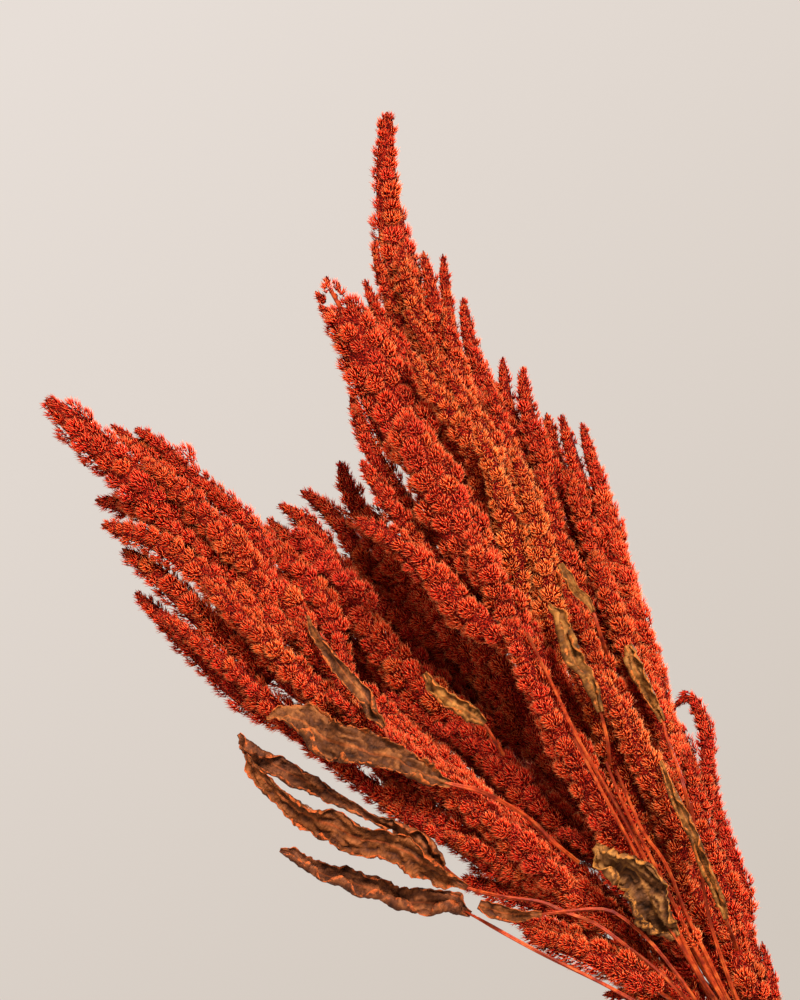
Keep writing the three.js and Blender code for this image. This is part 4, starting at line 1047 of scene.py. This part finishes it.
def flower_mesh(name, strands, solids, materials):
    """All bracts of one plant."""
    shape = arrays(bract_shape())
    copies = Copies()
    for strand in strands:
        at, heading, tipward, size, openness, shows, tint = tufts(strand, solids)
        tuft, place, ways, clear, width = bracts(at, heading, tipward, size, openness, shows)
        across, other = turned_frames(ways)
        deep = np.where(width > FRONT_WIDTH, size[tuft], BRACT_DEEP)[:, None]
        width = (width * rng.uniform(*BRACT_WIDTHS, len(tuft)))[:, None]
        room = np.clip(BRACT_ROOM[0] + clear / BRACT_ROOM[1], 0, 1)
        proud = (rng.uniform(*BRACT_PROUD, len(tuft)) * room)[:, None]
        length = deep + proud
        front = openness > 0
        # Painted light on the tails' crests: brighter where a front tuft turns to the viewer and a back tuft
        # turns away from it
        crest = np.clip(CREST_START + CREST_SLOPE * heading[:, 1] * np.where(front, -1, 1), 0, 1)[tuft]
        lit = np.where(front, openness, BACK_OPEN)[tuft]
        # Tone: random for each tuft and bract, with painted shade near the next tuft and in tufts hidden
        # from the front, and the painted crest light
        tone_and_shade = (TONE_TUFT * rng.uniform(0, 1, len(at))[tuft] + TONE_OWN * rng.uniform(0, 1, len(tuft))
                + CREVICE_SHADE * np.clip(clear / CLEAR_FULL, 0, 1) + HIDDEN_SHADE * lit + CREST_LIGHT * crest)
        copies.place(shape, place + ways * (proud - length / 2),
                     (across * width, other * width * BRACT_FLAT, ways * length),
                     (shape[0][:, 2] + 0.5, tone_and_shade[:, None], tint[tuft][:, None]))
    mesh = copies.mesh(name, ("tip", "tone_and_shade", "tint"))
    mesh.materials.append(materials["bracts"])
    return mesh


def ribbed(points, radii):
    """The strands of a ribbed stem, which turn slowly round each other, as points and radii."""
    along = unit(np.gradient(points, axis=0))
    side = unit(np.cross([0, 1, 0], along))
    front = np.cross(along, side)
    turned = np.arange(len(points)) * TUBE_PITCH * STRAND_TWIST + rng.uniform(0, 6)
    radii = np.array(radii)
    for strand in range(STRANDS):
        angle = (turned + strand * 2 * math.pi / STRANDS)[:, None]
        offset = (side * np.cos(angle) + front * np.sin(angle)) * radii[:, None] / 2
        yield points + offset, radii * rng.uniform(*STRAND_THICK)


def stem_mesh(plant, own, materials):
    """The plant's bare stems and stalks, and the cores of its tails."""
    runs = []
    for strand in own:
        points, radii = strand["points"], strand["radii"] * STEM_SHARE
        clothed = 0
        if flowering_part(strand):
            clothed = len(flowering_part(strand)[0])
            curve, start, radius_of = tail_form(strand)
            distances = np.linspace(start, curve.length, max(3, round(curve.length / TUBE_PITCH)))
            radius = radius_of(distances)
            core = tuft_middle(radius) + tuft_size(radius) * CORE_SHARE
            core[[0, -1]] *= CORE_END
            runs.append((curve.at(curve.times(distances)), core, 1))
            if start:
                bared = curve.at(curve.times(np.linspace(*(start * end for end in BARED_RUN), BARED_RINGS)))
                runs.append((bared, np.full(BARED_RINGS, STALK_RADIUS * STEM_SHARE), 0))
        points, radii = points[max(0, clothed - 1):], radii[max(0, clothed - 1):]
        if strand["stem"] is None:
            points = np.vstack([points, stem_foot(plant)])
            radii = np.full(len(points), float(STEM_RADIUS))
        elif strand["bare"]:
            radii = radii * np.linspace(BARE_THIN, 1, len(points))
        else:
            radii = np.full(len(points), STALK_RADIUS * STEM_SHARE)
        if len(points) > 2:
            points, radii = finer(points, radii)
            ribs = ribbed(points, radii) if strand["bare"] or strand["stem"] is None else [(points, radii)]
            runs.extend((*rib, 0) for rib in ribs)
    return tubes(plant["name"] + "_stems", runs, [materials["stem"], materials["core"]])


# Blades of the leaves
BLADE_PITCH = 0.8  # from one row or column of faces to the next
BLADE_COLUMNS = (9, 27)  # the fewest and the most across
BLADE_THICKNESS = 0.35
BLADE_SLIM = 0.94  # how wide a blade is for its solid
BLADE_SUNK = 0.3  # how far behind its solid's front it lies
CUP = 0.3  # how far its sides turn up, for each half width
ROLLS = (100, 220)  # from a blade whose edges only turn up, to one that is rolled up like a rope
FLAT_SHARES = (0.7, 0.25)  # how much of its half width lies flat, for those two
ROLL_SHARES = (0.15, 0.38)  # and the rolled edge's radius
ROLL_EDGES = (1.2, 0.7)  # how much the lower and the upper edge roll, as a share
ROLL_FEWEST = (0.3, 0.1)
ROLL_MOST = 1.8
TWIST_RUN = 8  # how far along a blade it takes to turn edge on, in millimetres
MOST_TWIST = math.radians(62)
END_RUNS = (6, 8)  # over how much of its tip and its foot a blade widens
END_WIDTH = 0.2

# How its edges change along it: the rows from one change to the next, and how much
RAGGED_STEP = 2.6
ROLL_CHANGE = (9, 0.35)
RUFFLE_CHANGE = (3, 0.8)

# Its creases: how large the plates between them are, how much longer they are along the blade, how high they
# stand and how much paler they are painted, as painted highlight on the plates and ridges against painted
# shade in the creases
CREASE_SLANT = 0.7
FOLDS, FOLD_HEIGHT, FOLD_LIGHT = (3.4, 5), 1.9, 0.35
CRUMPLES, CRUMPLE_HEIGHT, CRUMPLE_LIGHT = (2.6, 1.4), 0.9, 0.3
CRESTS, CREST_HEIGHT, RIDGE_HIGHLIGHT = (4.2, 3), 1.2, 0.4
CREST_SINK = 0.2
CREASE_SHARP = 1.7
WRINKLE_WIDTH = 5  # a blade narrower than this to a side has lower wrinkles
PALE_RUN = 12
UV_SCALE = 0.1  # ten millimetres to a unit


def smooth_noise(length, step, amount):
    """Random values that change smoothly along a run of rows."""
    knots = rng.normal(0, amount, max(4, int(length / step) + 3))
    return np.interp(np.linspace(0, len(knots) - 1, length), np.arange(len(knots)), knots)


def solid_tree(node):
    """The node's solid, for casting rays at it."""
    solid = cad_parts[node].data
    return BVHTree.FromPolygons([v.co for v in solid.vertices], [p.vertices for p in solid.polygons])


def front_of(node):
    """A function that gives the depth of the node's front at x, z, in millimetres, or None."""
    tree = solid_tree(node)

    def depth(x, z):
        hit = tree.ray_cast(Vector((x * MM, -1, z * MM)), Vector((0, 1, 0)))[0]
        return None if hit is None else hit.y / MM

    return depth


def creases(where, size, stretch):
    """Random plates over a blade, longer along it than across: 0 at a crease, up to 1 inside a plate."""
    places = where / [size * stretch, size]
    low, high = places.min(0) - 1, places.max(0) + 1
    seeds = rng.uniform(low, high, (int(np.prod(high - low)) + 4, 2))
    gaps = np.sort(np.linalg.norm(places[:, None] - seeds, axis=2), axis=1)
    return np.clip((gaps[:, 1] - gaps[:, 0]) * CREASE_SHARP, 0, 1)


def leaf_blade(one, materials):
    """The blade: a thin crumpled skin that lies along its solid's front, twisted where it is narrow, with
    its edges rolled over."""
    depth_at = front_of(one["name"])
    curve = Curve(one["blade"])
    rows = max(8, round(curve.length / BLADE_PITCH))
    along = np.linspace(0, curve.length, rows)
    centre = curve.at(curve.times(along))
    run = unit(np.gradient(centre[:, :2], axis=0))
    depth = [depth_at(x, z) for x, z in centre[:, :2]]
    known = [i for i in range(rows) if depth[i] is not None]
    depth = np.interp(np.arange(rows), known, [depth[i] for i in known])

    # A narrow place is a turned one: the blade stays about as wide as it is beside it
    width = np.maximum(0.5, centre[:, 2])
    reach = round(TWIST_RUN / BLADE_PITCH)
    widest = np.array([width[max(0, i - reach):i + reach + 1].max() for i in range(rows)])
    window = np.ones(2 * reach + 1) / (2 * reach + 1)
    full = np.convolve(np.pad(widest, reach, mode="edge"), window, "valid")
    full = np.maximum(width, full * np.clip(along / END_RUNS[0], END_WIDTH, 1)
                      * np.clip((curve.length - along) / END_RUNS[1], END_WIDTH, 1))
    twist = np.minimum(MOST_TWIST, np.arccos(np.clip(width / full, 0, 1))) * one["turn"]

    columns = int(np.clip(2 * full.max() / BLADE_PITCH, *BLADE_COLUMNS))
    s = np.linspace(-1, 1, columns)[None, :]
    lower = s < 0

    def edges(step, amount):
        """Changes along the lower and the upper edge, each for its half of the blade."""
        return np.where(lower, smooth_noise(rows, step, amount)[:, None],
                        smooth_noise(rows, step, amount)[:, None])

    ragged = edges(RAGGED_STEP, one["ragged"])
    roll = one["roll"] * np.clip(np.where(lower, *ROLL_EDGES) + edges(*ROLL_CHANGE),
                                 np.where(lower, *ROLL_FEWEST), ROLL_MOST)
    flat_share = np.interp(roll, ROLLS, FLAT_SHARES)
    radius = np.interp(roll, ROLLS, ROLL_SHARES)
    turned = np.radians(roll) * np.clip(np.abs(s) - flat_share, 0, 1) / (1 - flat_share)
    out = np.minimum(np.abs(s) / flat_share, 1) * (1 - radius) + radius * np.sin(turned)
    lift = radius * (1 - np.cos(turned)) + CUP * s**2
    half = full[:, None] * (BLADE_SLIM + ragged * np.abs(s))
    across = np.sign(s) * out * half
    side = s * full[:, None]
    where = np.column_stack([(along[:, None] + CREASE_SLANT * side).ravel(), side.ravel()])
    folds, crumples, crests = (creases(where, *one_kind).reshape(rows, -1)
                               for one_kind in (FOLDS, CRUMPLES, CRESTS))
    crests = (1 - crests)**3
    wrinkles = (FOLD_HEIGHT * (folds - 0.5) + CRUMPLE_HEIGHT * (crumples - 0.5)
                + CREST_HEIGHT * (crests - CREST_SINK) + s**4 * edges(*RUFFLE_CHANGE))
    height = lift * half + one["wrinkle"] * np.minimum(1, full / WRINKLE_WIDTH)[:, None] * wrinkles
    # Painted highlight on the plates and ridges and painted shade in the creases, with the leaf's own paler
    # tip
    ridge_light_and_pale_tip = np.clip(FOLD_LIGHT * folds + CRUMPLE_LIGHT * crumples + RIDGE_HIGHLIGHT * crests
                    + one["pale"] * np.exp(-along / PALE_RUN)[:, None], 0, 1)

    turn = twist[:, None]
    flat = across * np.cos(turn) - height * np.sin(turn)
    x = centre[:, 0, None] - run[:, 1, None] * flat
    z = centre[:, 1, None] + run[:, 0, None] * flat
    y = depth[:, None] + BLADE_SUNK - across * np.sin(turn) - height * np.cos(turn)

    grid = bmesh.new()
    bmesh.ops.create_grid(grid, x_segments=columns - 1, y_segments=rows - 1, size=1)
    across_layer = grid.verts.layers.float.new("across")
    ridge_layer = grid.verts.layers.float.new("ridge_light_and_pale_tip")
    uv_layer = grid.loops.layers.uv.new("UVMap")
    texture = {}
    for vertex in grid.verts:
        j = round((vertex.co.x + 1) / 2 * (columns - 1))
        i = round((vertex.co.y + 1) / 2 * (rows - 1))
        vertex.co = Vector((x[i, j], y[i, j], z[i, j])) * MM
        vertex[across_layer] = s[0, j]
        vertex[ridge_layer] = ridge_light_and_pale_tip[i, j]
        texture[vertex] = (side[i, j] * UV_SCALE, along[i] * UV_SCALE)
    for face in grid.faces:
        face.smooth = True
        for loop in face.loops:
            loop[uv_layer].uv = texture[loop.vert]
    mesh = bpy.data.meshes.new(one["name"] + "_blade")
    grid.to_mesh(mesh)
    grid.free()
    mesh.materials.append(materials[one["look"]])
    piece = add_piece(one["name"] + "_blade", mesh, one["name"])
    skin = piece.modifiers.new("skin", "SOLIDIFY")
    skin.thickness = BLADE_THICKNESS * MM
    skin.offset = 0


PETIOLE_DEEP = 0.8  # how far behind its solid's front a petiole runs
PETIOLE_SUNK = (3, 13)  # how much further it goes in behind its blade, and into the flowers at its foot
PETIOLE_RUNS = (8, 12)  # over how much of its length it does so
PETIOLE_TAPER = 40  # over how much of it it thickens, from half


def leaf_stalk(one, materials):
    """The petiole, from inside the blade to where it meets the bunch."""
    depth_at = front_of(one["name"])
    curve = Curve([one["blade"][-2][:2], one["blade"][-1][:2], *one["petiole"]])
    count = max(3, round(curve.length / TUBE_PITCH))
    path = curve.at(curve.times(np.linspace(0, curve.length, count + 1)))
    depths = np.full(len(path), np.nan)
    for i, (x, z) in enumerate(path):
        depth = depth_at(x, z)
        if depth is not None:
            depths[i] = depth + PETIOLE_DEEP
    known = ~np.isnan(depths)
    depths = np.interp(np.arange(len(path)), np.arange(len(path))[known], depths[known])
    smooth = np.convolve(np.pad(depths, 1, mode="edge"), [0.25, 0.5, 0.25], "valid")
    along = np.linspace(0, curve.length, len(path))
    for from_end, sunk, run in zip((along, curve.length - along), PETIOLE_SUNK, PETIOLE_RUNS):
        smooth += sunk * np.clip(1 - from_end / run, 0, 1)
    points = np.column_stack([path[:, 0], smooth, path[:, 1]])
    radii = one["stalk"] * np.clip(0.5 + along / PETIOLE_TAPER, 0, 1)
    runs = [(*rib, 0) for rib in ribbed(points, radii)]
    mesh = tubes(one["name"] + "_stalk", runs, [materials["stem"]])
    add_piece(one["name"] + "_stalk", mesh, one["name"])


def vase_piece(materials):
    """A thrown jar: its profile is spun round the upright axis."""
    knots = [(FOOT_RADIUS, EDGE), *((radius, share * VASE_HEIGHT) for radius, share in VASE_PROFILE),
             (RIM_RADIUS, VASE_HEIGHT - EDGE)]
    outside = Curve(knots).even(VASE_PITCH)
    inside = np.array([(radius - VASE_WALL, max(height, VASE_FLOOR)) for radius, height in outside])[::-1]
    profile = [(FOOT_RADIUS - EDGE, 0), *outside, (RIM_RADIUS - EDGE / 3, VASE_HEIGHT - EDGE / 3),
               (RIM_RADIUS - EDGE, VASE_HEIGHT), (RIM_RADIUS - VASE_WALL + EDGE, VASE_HEIGHT),
               (RIM_RADIUS - VASE_WALL + EDGE / 3, VASE_HEIGHT - EDGE / 3), *inside]
    profile = [(0, 0), *profile, (0, VASE_FLOOR)]
    jar = bmesh.new()
    corners = [jar.verts.new((radius * MM, 0, height * MM)) for radius, height in profile]
    edges = [jar.edges.new(pair) for pair in zip(corners, corners[1:])]
    bmesh.ops.spin(jar, geom=corners + edges, cent=(0, 0, 0), axis=(0, 0, 1), angle=2 * math.pi,
                   steps=VASE_STEPS, use_merge=True)
    bmesh.ops.remove_doubles(jar, verts=jar.verts, dist=0.01 * MM)
    bmesh.ops.recalc_face_normals(jar, faces=jar.faces)
    for face in jar.faces:
        face.smooth = True
    mesh = bpy.data.meshes.new("vase_jar")
    jar.to_mesh(mesh)
    jar.free()
    mesh.materials.append(materials["stoneware"])
    add_piece("vase_jar", mesh, "vase")


# ---------------------------------------------------------------- floor, light and camera


FLOOR_RADIUS = 3.9  # in metres, which keeps its edge out of the camera's view
FLOOR_STEPS = 96
LAMP_SPREAD = math.radians(80)  # keeps the lamps' light off the floor right under them
LAMPS = [
    # the name, where it stands and where it points in metres, its size in metres and its power in watts
    ("key", (0.66, -4.1, 3.2), (-0.2, 0, 0.45), 1.9, 128),
    ("fill", (-2.2, -1.8, 0.9), (-0.15, 0, 0.4), 1.6, 7),
    ("back", (1.2, 4, 2.6), (-0.15, 0, 0.4), 2.2, 80),
]
# The wall's colours: painted shade low down to the right, lighter high up to the left
WALL_COLORS = ("#D2C8BE", "#E7DED7")  # low down to the right, and high up to the left
WALL_SLOPES = (-0.3, 0.45)  # how the one goes over into the other: to the right and upwards
WALL_RUN = 0.04
WALL_LIGHT = 0.34  # how much the wall lights the bunch, as a share of how bright it looks


def add_stage(materials):
    """A round studio floor, far wider than the object."""
    disc = bmesh.new()
    bmesh.ops.create_circle(disc, cap_ends=True, segments=FLOOR_STEPS, radius=FLOOR_RADIUS)
    mesh = bpy.data.meshes.new("floor")
    disc.to_mesh(mesh)
    disc.free()
    mesh.materials.append(materials["floor"])
    floor = bpy.data.objects.new("floor", mesh)
    bpy.context.scene.collection.objects.link(floor)


def add_light(name, place, target, size, power):
    """A round soft lamp."""
    data = bpy.data.lights.new(name, "AREA")
    data.shape = "DISK"
    data.size = size
    data.spread = LAMP_SPREAD
    data.energy = power
    lamp = bpy.data.objects.new(name, data)
    lamp.location = place
    lamp.rotation_euler = (Vector(target) - Vector(place)).to_track_quat("-Z", "Y").to_euler()
    bpy.context.scene.collection.objects.link(lamp)


def add_world():
    """A plain pale studio wall all round, a little darker low down to the right as painted shade. It lights
    the bunch less than it shows, so that the lamps model the bunch's form."""
    world = bpy.data.worlds.new("studio")
    bpy.context.scene.world = world
    world.use_nodes = True
    tree = world.node_tree
    background = tree.nodes["Background"]
    ways = add(tree, "TexCoord").outputs["Generated"]
    split = add(tree, "SeparateXYZ", {0: ways})
    lean, slope = (add(tree, "Math", {0: split.outputs[axis], 1: share}, operation="MULTIPLY")
                   for axis, share in zip("XZ", WALL_SLOPES))
    both = add(tree, "Math", {0: slope.outputs[0], 1: lean.outputs[0]}, operation="ADD")
    place = add(tree, "MapRange", {"Value": both.outputs[0], "From Min": -WALL_RUN, "From Max": WALL_RUN})
    wall = add(tree, "ValToRGB", {"Fac": place.outputs["Result"]}, list(zip((0, 1), WALL_COLORS)))
    path = add(tree, "LightPath")
    strength = add(tree, "MapRange", {"Value": path.outputs["Is Camera Ray"], "To Min": WALL_LIGHT})
    tree.links.new(wall.outputs["Color"], background.inputs["Color"])
    tree.links.new(strength.outputs["Result"], background.inputs["Strength"])


def add_camera():
    """The photo's view, level and from far off."""
    data = bpy.data.cameras.new("camera")
    data.sensor_width = SENSOR
    data.lens = SENSOR * VIEW_DISTANCE / VIEW_HEIGHT
    data.clip_end = 100
    camera = bpy.data.objects.new("camera", data)
    camera.location = (VIEW_CENTRE[0] * MM, -VIEW_DISTANCE * MM, VIEW_CENTRE[1] * MM)
    camera.rotation_euler = (math.pi / 2, 0, 0)
    bpy.context.scene.collection.objects.link(camera)
    bpy.context.scene.camera = camera


materials = dict(
    bracts=bract_material(),
    core=core_material(),
    stem=stem_material(),
    stoneware=stoneware_material(),
    floor=floor_material(),
    **{look: leaf_material(look) for look in LEAF_LOOKS},
)

plants = PLANTS + [back_plant(**one) for one in BACK_PLANTS]
strands = [strand for index, plant in enumerate(plants) for strand in plant_strands(plant, index)]
settle(strands)
strands += [filler(*one) for one in FILLERS]

# The plants' solids, to find what shows from where
solids = [solid_tree(plant["name"]) for plant in plants]

for index, plant in enumerate(plants):
    own = [strand for strand in strands if strand["plant"] == index]
    flowering = [strand for strand in own if flowering_part(strand)]
    name = plant["name"]
    flowers = flower_mesh(name + "_flowers", flowering, solids, materials)
    add_piece(name + "_flowers", flowers, name)
    add_piece(name + "_stems", stem_mesh(plant, own, materials), name)

for one in LEAVES:
    leaf_blade(one, materials)
    leaf_stalk(one, materials)

vase_piece(materials)
add_stage(materials)
add_world()
for lamp in LAMPS:
    add_light(*lamp)
add_camera()
bpy.context.scene.view_settings.view_transform = "Standard"
